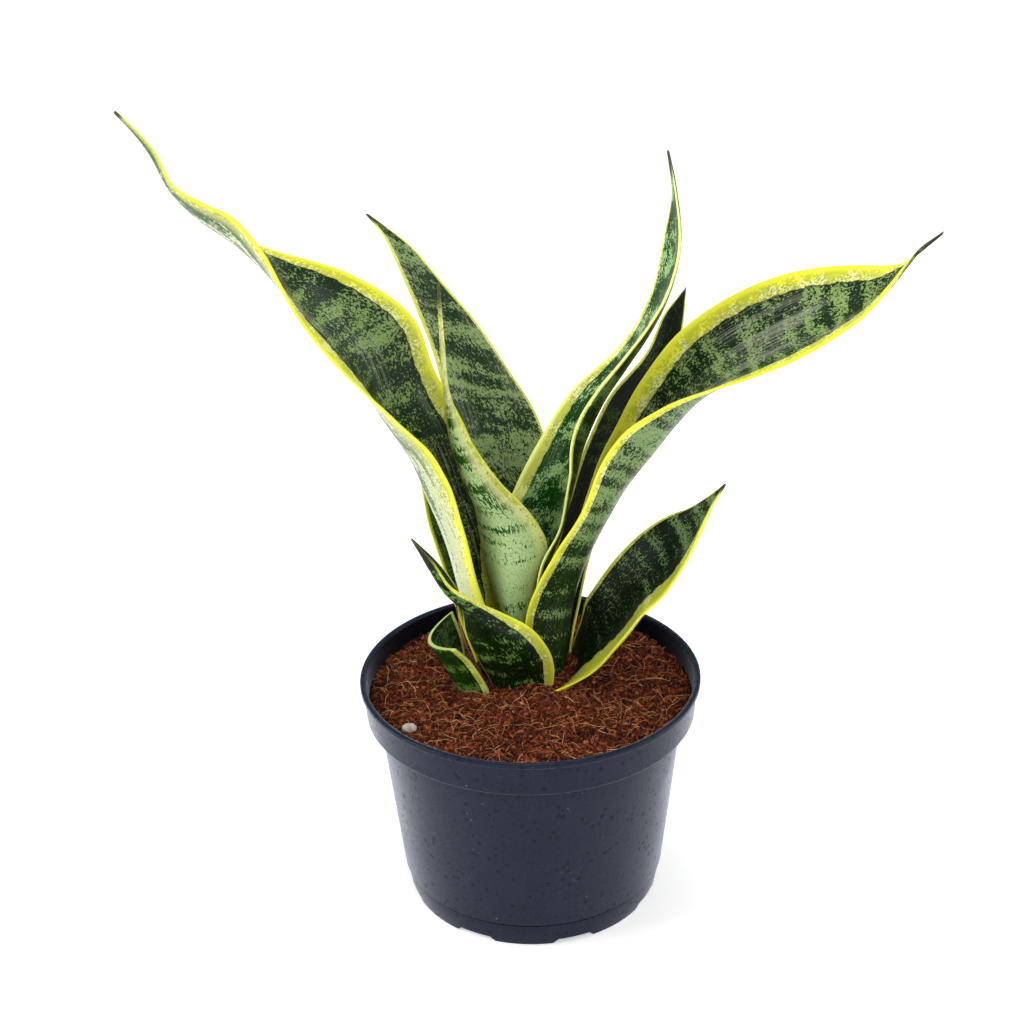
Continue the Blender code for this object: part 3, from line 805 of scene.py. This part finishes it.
# %% The ribs of each leaf
LEAVES_MM = {
    "leaf_long_left": [
        ((-3, 7, 99), (-8, 32, 99), 10),
        ((-12, 5, 127), (-11, 32, 124), 12),
        ((-22, 3, 156), (-15, 32, 149), 14),
        ((-29, -2, 192), (-16, 32, 180), 18),
        ((-33, -6, 213), (-19, 32, 202), 21),
        ((-42, -12, 240), (-28, 30, 237), 21),
        ((-60, -20, 264), (-42, 26, 269), 18),
        ((-82, -26, 290), (-52, 20, 300), 13),
        ((-99, -30, 317), (-81, 12, 324), 9),
        ((-111, -30, 345), (-114, 6, 337), 6),
        ((-123, -29, 361), (-131, 0, 346), 4),
        ((-136, -27, 367), (-142, -8, 357), 2.5),
        ((-147, -24, 373), (-150, -14, 370), 1.5),
        ((-155, -21, 389), (-158, -16, 387), 1),
        ((-162, -19, 397), (-164, -17, 396), 0.6),
        ((-170, -18, 405), (-171, -17, 404), 0.3),
    ],
    "leaf_back_left": [
        ((-17, 28, 99), (8, 34, 99), 7),
        ((-20, 32, 135), (10, 37, 132), 11),
        ((-24, 38, 177), (11, 40, 170), 12),
        ((-31, 40, 213), (13, 46, 203), 13),
        ((-38, 46, 242), (8, 54, 231), 11),
        ((-44, 54, 268), (-7, 60, 257), 9),
        ((-52, 60, 290), (-23, 65, 281), 7),
        ((-59, 64, 308), (-40, 68, 302), 4.5),
        ((-66, 68, 324), (-54, 70, 319), 2),
        ((-75, 71, 335), (-74, 71, 335), 0.3),
    ],
    "leaf_centre": [
        ((4, 19, 99), (-8, 20, 99), 5.5),
        ((3, 17, 130), (-13, 19, 128), 8),
        ((4, 16, 159), (-18, 19, 156), 11),
        ((10, 14, 181), (-22, 20, 177), 13),
        ((2, 14, 199), (-25, 20, 198), 11),
        ((-13, 14, 217), (-31, 19, 218), 8),
        ((-26, 14, 238), (-36, 16, 238), 4),
        ((-35, 13, 262), (-38, 12, 261), 1.5),
        ((-37, 12, 290), (-39, 11, 290), 0.8),
        ((-38, 12, 318), (-39, 12, 318), 0.3),
    ],
    "leaf_upright_right": [
        ((-3, 30, 99), (4, 12, 99), 7.5),
        ((-7, 33, 130), (4, 8, 137), 10),
        ((-11, 34, 161), (6, 4, 174), 12),
        ((-12, 37, 184), (16, 3, 197), 14),
        ((-5, 38, 204), (20, 0, 223), 14),
        ((8, 38, 230), (22, 0, 245), 13),
        ((24, 36, 256), (32, 0, 266), 10),
        ((40, 32, 272), (44, 0, 281), 6),
        ((52, 28, 288), (56, 2, 296), 4),
        ((60, 24, 307), (66, 4, 313), 3),
        ((65, 20, 334), (71, 6, 338), 2.5),
        ((68, 16, 355), (69, 10, 358), 1),
        ((65, 12, 376), (66, 12, 376), 0.3),
    ],
    "leaf_back_right": [
        ((-4, 43, 99), (19, 27, 99), 6),
        ((5, 48, 133), (26, 37, 135), 7),
        ((16, 51, 168), (35, 43, 172), 7),
        ((32, 52, 222), (52, 45, 222), 8),
        ((44, 54, 246), (65, 48, 246), 7),
        ((61, 56, 266), (75, 52, 264), 4),
        ((70, 57, 286), (79, 55, 282), 2),
        ((80, 58, 298), (80, 58, 299), 0.3),
    ],
    "leaf_broad_right": [
        ((11, 31, 99), (-5, 3, 99), 11),
        ((16, 31, 123), (-3, 2, 127), 12),
        ((19, 34, 146), (-1, 1, 152), 12),
        ((24, 38, 174), (12, -4, 184), 12),
        ((31, 40, 198), (26, -8, 210), 13),
        ((37, 38, 218), (34, -10, 233), 17),
        ((45, 34, 237), (45, -12, 251), 19),
        ((55, 32, 258), (64, -15, 265), 17),
        ((75, 30, 286), (86, -18, 274), 13),
        ((100, 26, 305), (106, -20, 281), 11),
        ((122, 22, 315), (124, -20, 289), 9),
        ((141, 16, 320), (140, -20, 299), 7),
        ((156, 10, 322), (154, -18, 310), 5),
        ((165, 2, 324), (163, -14, 320), 3),
        ((171, -6, 328), (172, -8, 330), 1.5),
        ((187, -4, 340), (187, -4, 341), 0.3),
    ],
    "leaf_low_right": [
        ((20, 36, 99), (3, -8, 99), 12),
        ((24, 33, 119), (8, -9, 110), 9),
        ((27, 31, 130), (17, -9, 114), 8),
        ((29, 30, 141), (30, -8, 121), 9),
        ((34, 27, 152), (42, -9, 136), 12),
        ((45, 24, 170), (54, -10, 153), 11),
        ((57, 20, 185), (66, -11, 167), 10),
        ((68, 12, 197), (74, -12, 181), 7),
        ((78, 4, 205), (81, -11, 197), 4),
        ((86, -3, 214), (87, -8, 210), 2),
        ((94, -6, 222), (94, -6, 221), 0.3),
    ],
    "leaf_low_front": [
        ((10, -1, 99), (-16, 0, 99), 5),
        ((12, -2, 120), (-21, -2, 118), 6),
        ((10, -4, 132), (-27, -4, 132), 8),
        ((1, -7, 147), (-31, -8, 146), 8),
        ((-13, -11, 158), (-32, -11, 159), 7),
        ((-26, -15, 167), (-33, -12, 168), 5),
        ((-36, -19, 176), (-36, -13, 176), 5),
        ((-44, -23, 191), (-43, -18, 190), 4),
        ((-49, -25, 199), (-49, -22, 199), 2),
        ((-54, -27, 206), (-54, -27, 207), 0.3),
    ],
    "leaf_short_left": [
        ((-17, -5, 99), (-34, 13, 99), 10),
        ((-22, -7, 116), (-33, 14, 116), 11),
        ((-29, -9, 130), (-34, 14, 132), 13),
        ((-36, -12, 139), (-38, 13, 147), 14),
    ],
    "leaf_hidden_left": [
        ((-22, 20, 99), (-10, 40, 99), 4),
        ((-32, 27, 125), (-15, 44, 122), 5),
        ((-40, 31, 151), (-20, 46, 144), 6),
        ((-44, 33, 166), (-22, 47, 162), 7),
        ((-49, 36, 183), (-26, 48, 183), 7),
        ((-52, 38, 204), (-31, 49, 208), 6),
        ((-54, 40, 223), (-39, 49, 227), 4),
        ((-54, 42, 238), (-48, 47, 241), 2),
        ((-55, 44, 251), (-54, 44, 252), 0.3),
    ],
}
print("there are", len(LEAVES_MM), "leaves")


# %% [markdown]
# Between the ribs each value follows a Hermite curve, whose slope at a rib is the weighted mean of the
# slopes on its two sides.  Across the blade the cup is a parabola.

# %% The surface of a blade
LEAST_CUP = 0.1 * MM
EVEN_SHARE = 0.65  # the rest of the columns' spacing crowds them towards the margins


def smooth_through(values, places, wanted):
    """A smooth curve through rows of values at the given places, read at the wanted places."""
    steps = np.diff(places)[:, None]
    slopes = np.diff(values, axis=0) / steps
    inner = (slopes[:-1] * steps[1:] + slopes[1:] * steps[:-1]) / (steps[:-1] + steps[1:])
    tangents = np.vstack([slopes[:1], inner, slopes[-1:]])
    index = np.clip(np.searchsorted(places, wanted, side="right") - 1, 0, len(places) - 2)
    span = steps[index]
    t = ((wanted - places[index])[:, None]) / span
    start = (2 * t**3 - 3 * t**2 + 1) * values[index]
    leave = (t**3 - 2 * t**2 + t) * span * tangents[index]
    arrive = (t**3 - t**2) * span * tangents[index + 1]
    end = (3 * t**2 - 2 * t**3) * values[index + 1]
    return start + leave + arrive + end


def unit(vectors):
    return vectors / np.maximum(np.linalg.norm(vectors, axis=-1, keepdims=True), 1e-12)


def blade_surface(ribs_mm, rows, columns):
    """Rows of points from the left edge to the right edge, and the length along the middle at each row."""
    left = np.array([rib[0] for rib in ribs_mm]) * MM
    right = np.array([rib[1] for rib in ribs_mm]) * MM
    cup = np.array([[rib[2]] for rib in ribs_mm]) * MM
    middle = (left + right) / 2
    along = np.concatenate([[0.0], np.cumsum(np.linalg.norm(np.diff(middle, axis=0), axis=1))])
    wanted = np.linspace(0.0, along[-1], rows)
    ribs = smooth_through(np.hstack([left, right, cup]), along, wanted)
    left, right = ribs[:, 0:3], ribs[:, 3:6]
    cup = np.maximum(ribs[:, 6:7], LEAST_CUP)
    direction = unit(np.gradient((left + right) / 2, axis=0))
    outward = unit(np.cross(direction, right - left))
    even = np.linspace(-1.0, 1.0, columns)[None, :, None]
    share = (1 - EVEN_SHARE) * np.sin(even * math.pi / 2) + EVEN_SHARE * even
    line = left[:, None] * (1 - share) / 2 + right[:, None] * (1 + share) / 2
    surface = line + (outward * cup)[:, None] * (1 - share**2)
    surface[..., 0] += AXIS_X
    return surface, wanted


# %% [markdown]
# The pattern on a leaf follows the blade, so each point stores where it lies on it: how far it is from the
# midrib, how far along the leaf, and half the blade's width there, all in metres.  The finish reads them.

# %% Build a blade
BLADE_ROWS = 110
BLADE_COLUMNS = 23
BLADE_THICKNESS = 2.6 * MM
MARGIN_SHARE = 0.40
TIP_SHARE = 0.30
WAVE = 0.45 * MM
WAVE_LENGTH = 16 * MM
NARROW_WIDTH = 12 * MM


def place_on_blade(surface, lengths):
    """For each point its distance from the midrib, its distance from the base, and the half width there."""
    steps = np.linalg.norm(np.diff(surface, axis=1), axis=2)
    across = np.concatenate([np.zeros((len(surface), 1)), np.cumsum(steps, axis=1)], axis=1)
    half = across[:, -1:] / 2
    along = np.broadcast_to(lengths[:, None], across.shape)
    return np.stack([across - half, along, np.broadcast_to(half, across.shape)], axis=2)


def add_waves(surface, blade_place, seed):
    """Real margins are never quite straight: they wave a little, more towards the edge."""
    normal = unit(np.cross(np.gradient(surface, axis=0), np.gradient(surface, axis=1)))
    edge = np.abs(blade_place[..., 0]) / np.maximum(blade_place[..., 2], MM)
    side = np.sign(blade_place[..., 0])

    def wave_at(y, s):
        return noise.noise(Vector((y / WAVE_LENGTH, s * 3.0, seed)))

    wave = np.vectorize(wave_at)(blade_place[..., 1], side)
    width = np.clip(blade_place[..., 2] / NARROW_WIDTH, 0.0, 1.0)
    return surface + normal * (WAVE * wave * edge**3 * width)[..., None]


def build_blade(ribs_mm, rows, columns, thickness, seed):
    surface, lengths = blade_surface(ribs_mm, rows, columns)
    blade_place = place_on_blade(surface, lengths)
    surface = add_waves(surface, blade_place, seed)
    start_clean()
    bpy.ops.mesh.primitive_grid_add(x_subdivisions=columns - 1, y_subdivisions=rows - 1, size=1.0)
    blade = bpy.context.object
    mesh = blade.data
    flat = points_of(blade)
    column = np.rint((flat[:, 0] + 0.5) * (columns - 1)).astype(int)
    row = np.rint((flat[:, 1] + 0.5) * (rows - 1)).astype(int)
    mesh.vertices.foreach_set("co", surface[row, column].ravel().astype(np.float32))
    for _ in range(3):
        mesh.materials.append(None)
    store = mesh.attributes.new("blade", "FLOAT_VECTOR", "POINT")
    store.data.foreach_set("vector", blade_place[row, column].ravel().astype(np.float32))
    thick = blade.vertex_groups.new(name="thick")
    for point in mesh.vertices:
        from_middle, _, half = blade_place[row[point.index], column[point.index]]
        edge = abs(from_middle) / max(half, 1e-6)
        full = MARGIN_SHARE + (1 - MARGIN_SHARE) * (1 - edge**2)
        narrow = min(1.0, TIP_SHARE + half / NARROW_WIDTH)
        thick.add([point.index], full * narrow, "REPLACE")
    apply_modifier(
        blade, "SOLIDIFY", thickness=thickness, offset=0.0, vertex_group="thick", thickness_vertex_group=0.0,
        material_offset=1, material_offset_rim=2,
    )
    apply_modifier(blade, "SUBSURF", levels=1, render_levels=1)
    return blade


print("a blade is a grid of", BLADE_ROWS, "by", BLADE_COLUMNS)


# %% [markdown]
# ## The finish of a leaf
#
# The green of a leaf is two greens: a light ground and dark, jagged bands across it.  The jags come from the
# leaf's cells, which stand in rows along it, so the noises that break up the bands are fine across the blade
# and longer along it.  The margins are yellow, each with a width of its own, paler and speckled on their
# inner side.  The tip dries to brown.  One recipe makes every face, and a table gives each leaf its values.

# %% Greens of each leaf
YELLOW = paint(230, 231, 62)
LIME_YELLOW = paint(226, 234, 104)
PALE_LIME = paint(242, 250, 142)
OLIVE_YELLOW = paint(176, 182, 50)
PALE_MARGIN = paint(222, 224, 152)
DULL_OLIVE = paint(132, 136, 36)
SOFT_YELLOW = paint(206, 212, 92)
DRY_TIP = paint(28, 32, 18)
SILVER_GREY = paint(146, 151, 132)

# For each leaf: a number that shifts its pattern, the left and right margins in millimetres, how many times
# as wide they are near the tip and on the outer face, their colour, and the length of the dark tip in
# millimetres.  Then come its inner and its outer face, with these values.
# - dark, light: the two greens
# - cover, base: the share that is dark, and how much more of it is dark at the base, partly the leaf's own
#   colour and partly painted shade where the leaves crowd; below 0 the base is paler
# - bands: how tightly the bands sit across and along the blade
# - streaks, specks: how strongly lengthwise streaks and fine specks break the bands up
# - silver, halo: the share of grey streaks, partly silvery colour and partly painted reflection, and how far
#   the margin's pale side fades into the green
LEAF_LOOKS = {
    "leaf_long_left": (
        1.0, 14.0, 8.5, 0.6, 0.42, YELLOW, 6,
        (paint(14, 36, 12), paint(118, 142, 82), 0.66, 0.2, (34, 110), 0.24, 1.35, 0.45, 0.0),
        (paint(62, 86, 48), paint(190, 200, 156), 0.62, -1.3, (300, 22), 0.50, 0.45, 0.0, 0.5),
    ),
    "leaf_back_left": (
        2.0, 3.2, 1.5, 0.8, 1.0, SOFT_YELLOW, 12,
        (paint(28, 50, 28), paint(138, 160, 104), 0.54, 0.0, (14, 98), 0.24, 1.10, 0.3, 0.0),
        (paint(28, 50, 24), paint(110, 138, 80), 0.45, 0.0, (14, 90), 0.30, 0.60, 0.0, 0.0),
    ),
    "leaf_centre": (
        3.0, 6.0, 3.0, 2.2, 0.65, LIME_YELLOW, 20,
        (paint(14, 40, 10), paint(104, 134, 74), 0.58, 0.2, (24, 100), 0.22, 0.70, 0.0, 0.0),
        (paint(24, 78, 6), paint(174, 200, 138), 0.50, -0.7, (13, 105), 0.62, 0.30, 0.0, 0.8),
    ),
    "leaf_upright_right": (
        4.0, 7.6, 3.4, 0.35, 0.7, PALE_LIME, 18,
        (paint(6, 58, 8), paint(146, 184, 118), 0.60, -0.1, (60, 80), 0.45, 0.70, 0.45, 0.0),
        (paint(14, 34, 10), paint(82, 110, 56), 0.62, 0.3, (24, 100), 0.30, 0.60, 0.0, 0.0),
    ),
    # This leaf stands behind the others: its greens, the inner ones most, are painted far darker than theirs,
    # as painted shade.
    "leaf_back_right": (
        5.0, 1.9, 1.3, 1.0, 1.0, SOFT_YELLOW, 8,
        (paint(3, 12, 2), paint(44, 70, 24), 0.72, 0.3, (30, 110), 0.22, 0.90, 0.0, 0.0),
        (paint(12, 26, 8), paint(70, 98, 46), 0.62, 0.2, (22, 95), 0.30, 0.60, 0.0, 0.0),
    ),
    "leaf_broad_right": (
        6.0, 10.5, 9.0, 0.8, 0.45, YELLOW, 22,
        (paint(11, 34, 13), paint(128, 152, 88), 0.58, 0.4, (50, 130), 0.26, 1.20, 0.55, 0.0),
        (paint(16, 40, 12), paint(124, 150, 94), 0.48, 0.6, (13, 150), 0.65, 1.00, 0.1, 0.0),
    ),
    "leaf_low_right": (
        7.0, 1.9, 18.0, 0.42, 0.5, YELLOW, 6,
        (paint(10, 26, 10), paint(104, 130, 84), 0.54, 0.45, (18, 84), 0.24, 0.90, 0.0, 0.0),
        (paint(16, 34, 12), paint(82, 108, 58), 0.56, 0.2, (20, 90), 0.30, 0.60, 0.0, 0.0),
    ),
    "leaf_low_front": (
        8.0, 11.0, 1.8, 0.35, 0.6, YELLOW, 32,
        (paint(24, 46, 20), paint(84, 110, 62), 0.58, 0.0, (22, 90), 0.22, 0.70, 0.0, 0.0),
        (paint(6, 26, 4), paint(100, 136, 60), 0.64, 0.2, (60, 130), 0.50, 0.60, 0.0, 0.0),
    ),
    "leaf_short_left": (
        9.0, 3.4, 1.8, 1.0, 1.0, LIME_YELLOW, 0,
        (paint(20, 36, 16), paint(66, 92, 50), 0.60, 0.0, (22, 90), 0.22, 0.70, 0.0, 0.0),
        (paint(20, 50, 8), paint(92, 124, 54), 0.52, 0.2, (22, 120), 0.40, 0.55, 0.0, 0.0),
    ),
    "leaf_hidden_left": (
        10.0, 2.6, 2.6, 0.8, 1.0, YELLOW, 14,
        (paint(26, 50, 12), paint(100, 128, 56), 0.50, 0.0, (26, 100), 0.22, 0.70, 0.0, 0.0),
        (paint(30, 56, 14), paint(104, 132, 58), 0.50, 0.0, (26, 100), 0.30, 0.60, 0.0, 0.0),
    ),
}


# %% Leaf material
NARROW_HALF = 18 * MM


def bands_of(tree, place, along, cover, base, scales, streaks, specks):
    """How dark the green is, from 0 to 1, with the speckle and the streaks that break the bands up."""
    streak = grain(tree, stretched(tree, place, (1500.0, 260.0, 1.0)), 1.0, 1.0)
    speckle = grain(tree, stretched(tree, place, (1000.0, 760.0, 1.0)), 1.0, 2.0, 0.7)
    patch = grain(tree, stretched(tree, place, (190.0, 170.0, 1.0)), 1.0, 3.0)
    band = grain(tree, stretched(tree, place, (*scales, 1.0)), 1.0, 2.0)
    broken = calculate(tree, "MULTIPLY_ADD", patch, 0.30, band)
    broken = calculate(tree, "MULTIPLY_ADD", speckle, specks, broken)
    broken = calculate(tree, "MULTIPLY_ADD", streak, streaks, broken)
    middle = 0.5 * (1.0 + 0.30 + specks + streaks)
    level = middle + (cover - 0.5) * 0.5
    # Towards the base the dark share grows by base: partly the leaf's own colour, partly painted shade among
    # the crowded leaf bases.
    lifted = step(tree, along, 30 * MM, 150 * MM, level + base * 0.3, level)
    above = calculate(tree, "SUBTRACT", broken, lifted)
    return step(tree, above, -0.035, 0.035, 1.0, 0.0), speckle, patch, streak


def margin_place(tree, half, from_middle, left, right, taper, patch, streak):
    """0 at the very edge of the blade and 1 where its margin ends, on the nearer side."""
    from_left = calculate(tree, "DIVIDE", calculate(tree, "ADD", half, from_middle), left)
    from_right = calculate(tree, "DIVIDE", calculate(tree, "SUBTRACT", half, from_middle), right)
    nearer = calculate(tree, "MINIMUM", from_left, from_right)
    narrow = step(tree, half, 0.0, NARROW_HALF, 0.16, 1.0)
    inward = calculate(tree, "DIVIDE", nearer, times(tree, narrow, taper))
    jag = calculate(tree, "MULTIPLY_ADD", patch, 0.35, times(tree, streak, 0.12))
    return inward, calculate(tree, "ADD", inward, calculate(tree, "SUBTRACT", jag, 0.23))


def make_leaf_face(name, seed, left, right, at_tip, yellow, tip, length, face):
    """One face's finish: bands, partly painted shade at the base, partly painted glints in grey streaks,
    margins, a dry tip.
    """
    dark, light, cover, base, scales, streaks, specks, silver, halo = face
    material, tree, shader = new_material(name)
    blade = add_node(tree, "Attribute", attribute_name="blade").outputs["Vector"]
    parts = add_node(tree, "SeparateXYZ", {0: blade})
    from_middle, along, half = parts.outputs
    place = add_node(tree, "CombineXYZ", {0: from_middle, 1: along, 2: seed * 3.7}).outputs[0]
    darkness, speckle, patch, streak = bands_of(tree, place, along, cover, base, scales, streaks, specks)
    mottled = blend(tree, step(tree, speckle, 0.52, 0.40, 0.0, 0.30), light, dark)
    greens = blend(tree, darkness, mottled, dark)
    flecks = times(tree, step(tree, speckle, 0.58, 0.70), 0.40)
    greens = blend(tree, flecks, greens, light)
    if silver:
        # Grey streaks along the blade: partly the leaf's own silvery grey, partly painted reflection of
        # glints on its grooves.
        lines = grain(tree, stretched(tree, place, (900.0, 14.0, 1.0)), 1.0, 2.0)
        region = step(tree, grain(tree, stretched(tree, place, (44.0, 16.0, 1.0)), 1.0, 1.0), 0.46, 0.62)
        silver_and_painted_glint = times(tree, step(tree, lines, 0.42, 0.62), times(tree, region, silver))
        greens = blend(tree, silver_and_painted_glint, greens, SILVER_GREY)
    taper = step(tree, along, length * 0.4, length * 0.85, 1.0, at_tip)
    inward, jagged = margin_place(tree, half, from_middle, left * MM, right * MM, taper, patch, streak)
    cloud = grain(tree, stretched(tree, place, (70.0, 90.0, 1.0)), 1.0, 2.0)
    inner_side = step(tree, calculate(tree, "MULTIPLY_ADD", cloud, 1.6, inward), 1.25, 1.60)
    margin = blend(tree, inner_side, yellow, PALE_MARGIN)
    inside_edge = step(tree, inward, 0.15, 0.45)
    olive = times(tree, times(tree, darkness, inside_edge), 0.75)
    margin = blend(tree, olive, margin, OLIVE_YELLOW)
    spots = times(tree, step(tree, speckle, 0.50, 0.38), times(tree, inner_side, 0.70))
    margin = blend(tree, spots, margin, DULL_OLIVE)
    if halo:
        greens = blend(tree, step(tree, inward, 0.9, 2.6, halo, 0.0), greens, PALE_MARGIN)
    else:
        border = times(tree, step(tree, jagged, 1.14, 1.04), 0.7)
        greens = blend(tree, border, greens, dark)
    leaf = blend(tree, step(tree, jagged, 0.97, 1.02, 1.0, 0.0), greens, margin)
    if tip:
        dried = step(tree, along, length - tip * MM, length - tip * 0.35 * MM, 0.0, 0.9)
        leaf = blend(tree, dried, leaf, DRY_TIP)
    link(tree, leaf, shader, "Base Color")

    link(tree, step(tree, patch, 0.3, 0.7, 0.30, 0.42), shader, "Roughness")
    shader.inputs["Specular IOR Level"].default_value = 0.18
    grooves = grain(tree, stretched(tree, place, (1000.0, 26.0, 1.0)), 1.0, 2.0)
    ripples = grain(tree, stretched(tree, place, (160.0, 620.0, 1.0)), 1.0, 2.0)
    ribbed = bump(tree, grooves, 0.18 * MM, 0.35)
    link(tree, bump(tree, ripples, 0.12 * MM, 0.3, ribbed), shader, "Normal")
    return material


def make_cut_rim():
    """The fresh cut edge of a leaf: pale, wet green with fine pores."""
    material, tree, shader = new_material("cut_leaf_rim")
    place = object_place(tree)
    pores = grain(tree, place, 1400.0, 3.0)
    link(tree, blend(tree, pores, paint(120, 150, 58), paint(202, 214, 132)), shader, "Base Color")
    shader.inputs["Roughness"].default_value = 0.5
    link(tree, bump(tree, pores, 0.2 * MM, 0.5), shader, "Normal")
    return material


# %% Grow the ten leaves
def blade_length(ribs_mm):
    middles = [(np.array(rib[0]) + np.array(rib[1])) / 2 for rib in ribs_mm]
    return sum(np.linalg.norm(b - a) for a, b in zip(middles, middles[1:])) * MM


for node_name, ribs_mm in LEAVES_MM.items():
    seed, left, right, at_tip, outside, yellow, tip, inner, outer = LEAF_LOOKS[node_name]
    length = blade_length(ribs_mm)
    leaf_name = node_name.removeprefix("leaf_")
    shared = at_tip, yellow, tip, length
    inner_face = make_leaf_face(leaf_name + "_inner", seed, left, right, *shared, inner)
    outer_face = make_leaf_face(leaf_name + "_outer", seed, left * outside, right * outside, *shared, outer)
    rim = inner_face if tip else make_cut_rim()
    blade = build_blade(ribs_mm, BLADE_ROWS, BLADE_COLUMNS, BLADE_THICKNESS, seed)
    finish_piece(
        blade, leaf_name + "_blade", [inner_face, outer_face, rim], [node_name], smooth_angle=70
    )


# %% [markdown]
# ## The dry sheath, the stone and the rhizome
#
# An old leaf has dried to a brown strip between two others.  It is built as a blade is, but thinner, and its
# finish is a fibrous paper.

# %% Dry sheath
SHEATH_MM = [
    ((-20, 1, 99), (-20, 6, 99), 0.6),
    ((-25, -1, 118), (-25, 4, 118), 0.6),
    ((-31, 0, 134), (-32, 4, 134), 0.5),
    ((-36, 3, 155), (-36, 6, 156), 0.3),
]


def make_dry_paper():
    material, tree, shader = new_material("dry_paper")
    blade = add_node(tree, "Attribute", attribute_name="blade").outputs["Vector"]
    strands = grain(tree, stretched(tree, blade, (1600.0, 50.0, 1.0)), 1.0, 3.0)
    patch = grain(tree, blade, 180.0, 2.0)
    brown = blend(tree, strands, paint(66, 40, 22), paint(150, 112, 70))
    stained = times(tree, step(tree, patch, 0.45, 0.7), 0.5)
    link(tree, blend(tree, stained, brown, paint(46, 28, 16)), shader, "Base Color")
    shader.inputs["Roughness"].default_value = 0.85
    link(tree, bump(tree, strands, 0.3 * MM, 0.8), shader, "Normal")
    return material


SHEATH_THICKNESS = 0.9 * MM
SHEATH_ROWS = 40
SHEATH_COLUMNS = 7
sheath = build_blade(SHEATH_MM, SHEATH_ROWS, SHEATH_COLUMNS, SHEATH_THICKNESS, 11.0)
dry_paper = make_dry_paper()
finish_piece(sheath, "dry_sheath_strip", [dry_paper] * 3, ["dry_sheath"], smooth_angle=70)

# %% [markdown]
# A pale stone lies on the mix.  A ball is cut into small faces and dented by noise, as a pebble that has
# been knocked about.

# %% Stone
STONE_PLACE = Vector((AXIS_X - 59 * MM, -40 * MM, 112.0 * MM))
STONE_SIZE = Vector((7.0 * MM, 6.0 * MM, 4.5 * MM))
start_clean()
bpy.ops.mesh.primitive_ico_sphere_add(subdivisions=4, radius=0.5)
stone = bpy.context.object
for point in stone.data.vertices:
    dent = 1 + 0.16 * noise.noise(point.co * 4.0) + 0.07 * noise.noise(point.co * 11.0)
    point.co = STONE_PLACE + Vector(point.co[i] * dent * STONE_SIZE[i] for i in range(3))


def make_pale_stone():
    material, tree, shader = new_material("pale_stone_grain")
    place = object_place(tree)
    grit = grain(tree, place, 1500.0, 4.0, 0.7)
    patch = grain(tree, place, 300.0, 2.0)
    grey = blend(tree, grit, paint(148, 138, 124), paint(216, 210, 198))
    stained = blend(tree, step(tree, patch, 0.5, 0.8), grey, paint(120, 84, 60))
    link(tree, stained, shader, "Base Color")
    shader.inputs["Roughness"].default_value = 0.85
    link(tree, bump(tree, grit, 0.3 * MM, 0.7), shader, "Normal")
    return material


finish_piece(stone, "pale_pebble", [make_pale_stone()], ["stone"], smooth_angle=70)


# %% [markdown]
# The rhizome lies in the mix, where the leaves grow from it.  Its plain solid has the right shape, so it
# keeps it, and gets a skin with the rings that old leaves leave behind.

# %% Rhizome skin
def make_rhizome_skin():
    material, tree, shader = new_material("ringed_skin")
    place = object_place(tree)
    rings = add_node(tree, "TexWave", {"Vector": place, "Scale": 60.0, "Distortion": 2.0, "Detail": 2.0})
    grit = grain(tree, place, 500.0, 3.0)
    tan = blend(tree, rings.outputs["Fac"], paint(150, 98, 52), paint(206, 158, 100))
    soiled = blend(tree, times(tree, grit, 0.4), tan, paint(96, 58, 34))
    link(tree, soiled, shader, "Base Color")
    shader.inputs["Roughness"].default_value = 0.7
    link(tree, bump(tree, rings.outputs["Fac"], 0.4 * MM, 0.5), shader, "Normal")
    return material


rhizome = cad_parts["rhizome"]
rhizome.data.materials.clear()
rhizome.data.materials.append(make_rhizome_skin())
print("the rhizome has its skin")
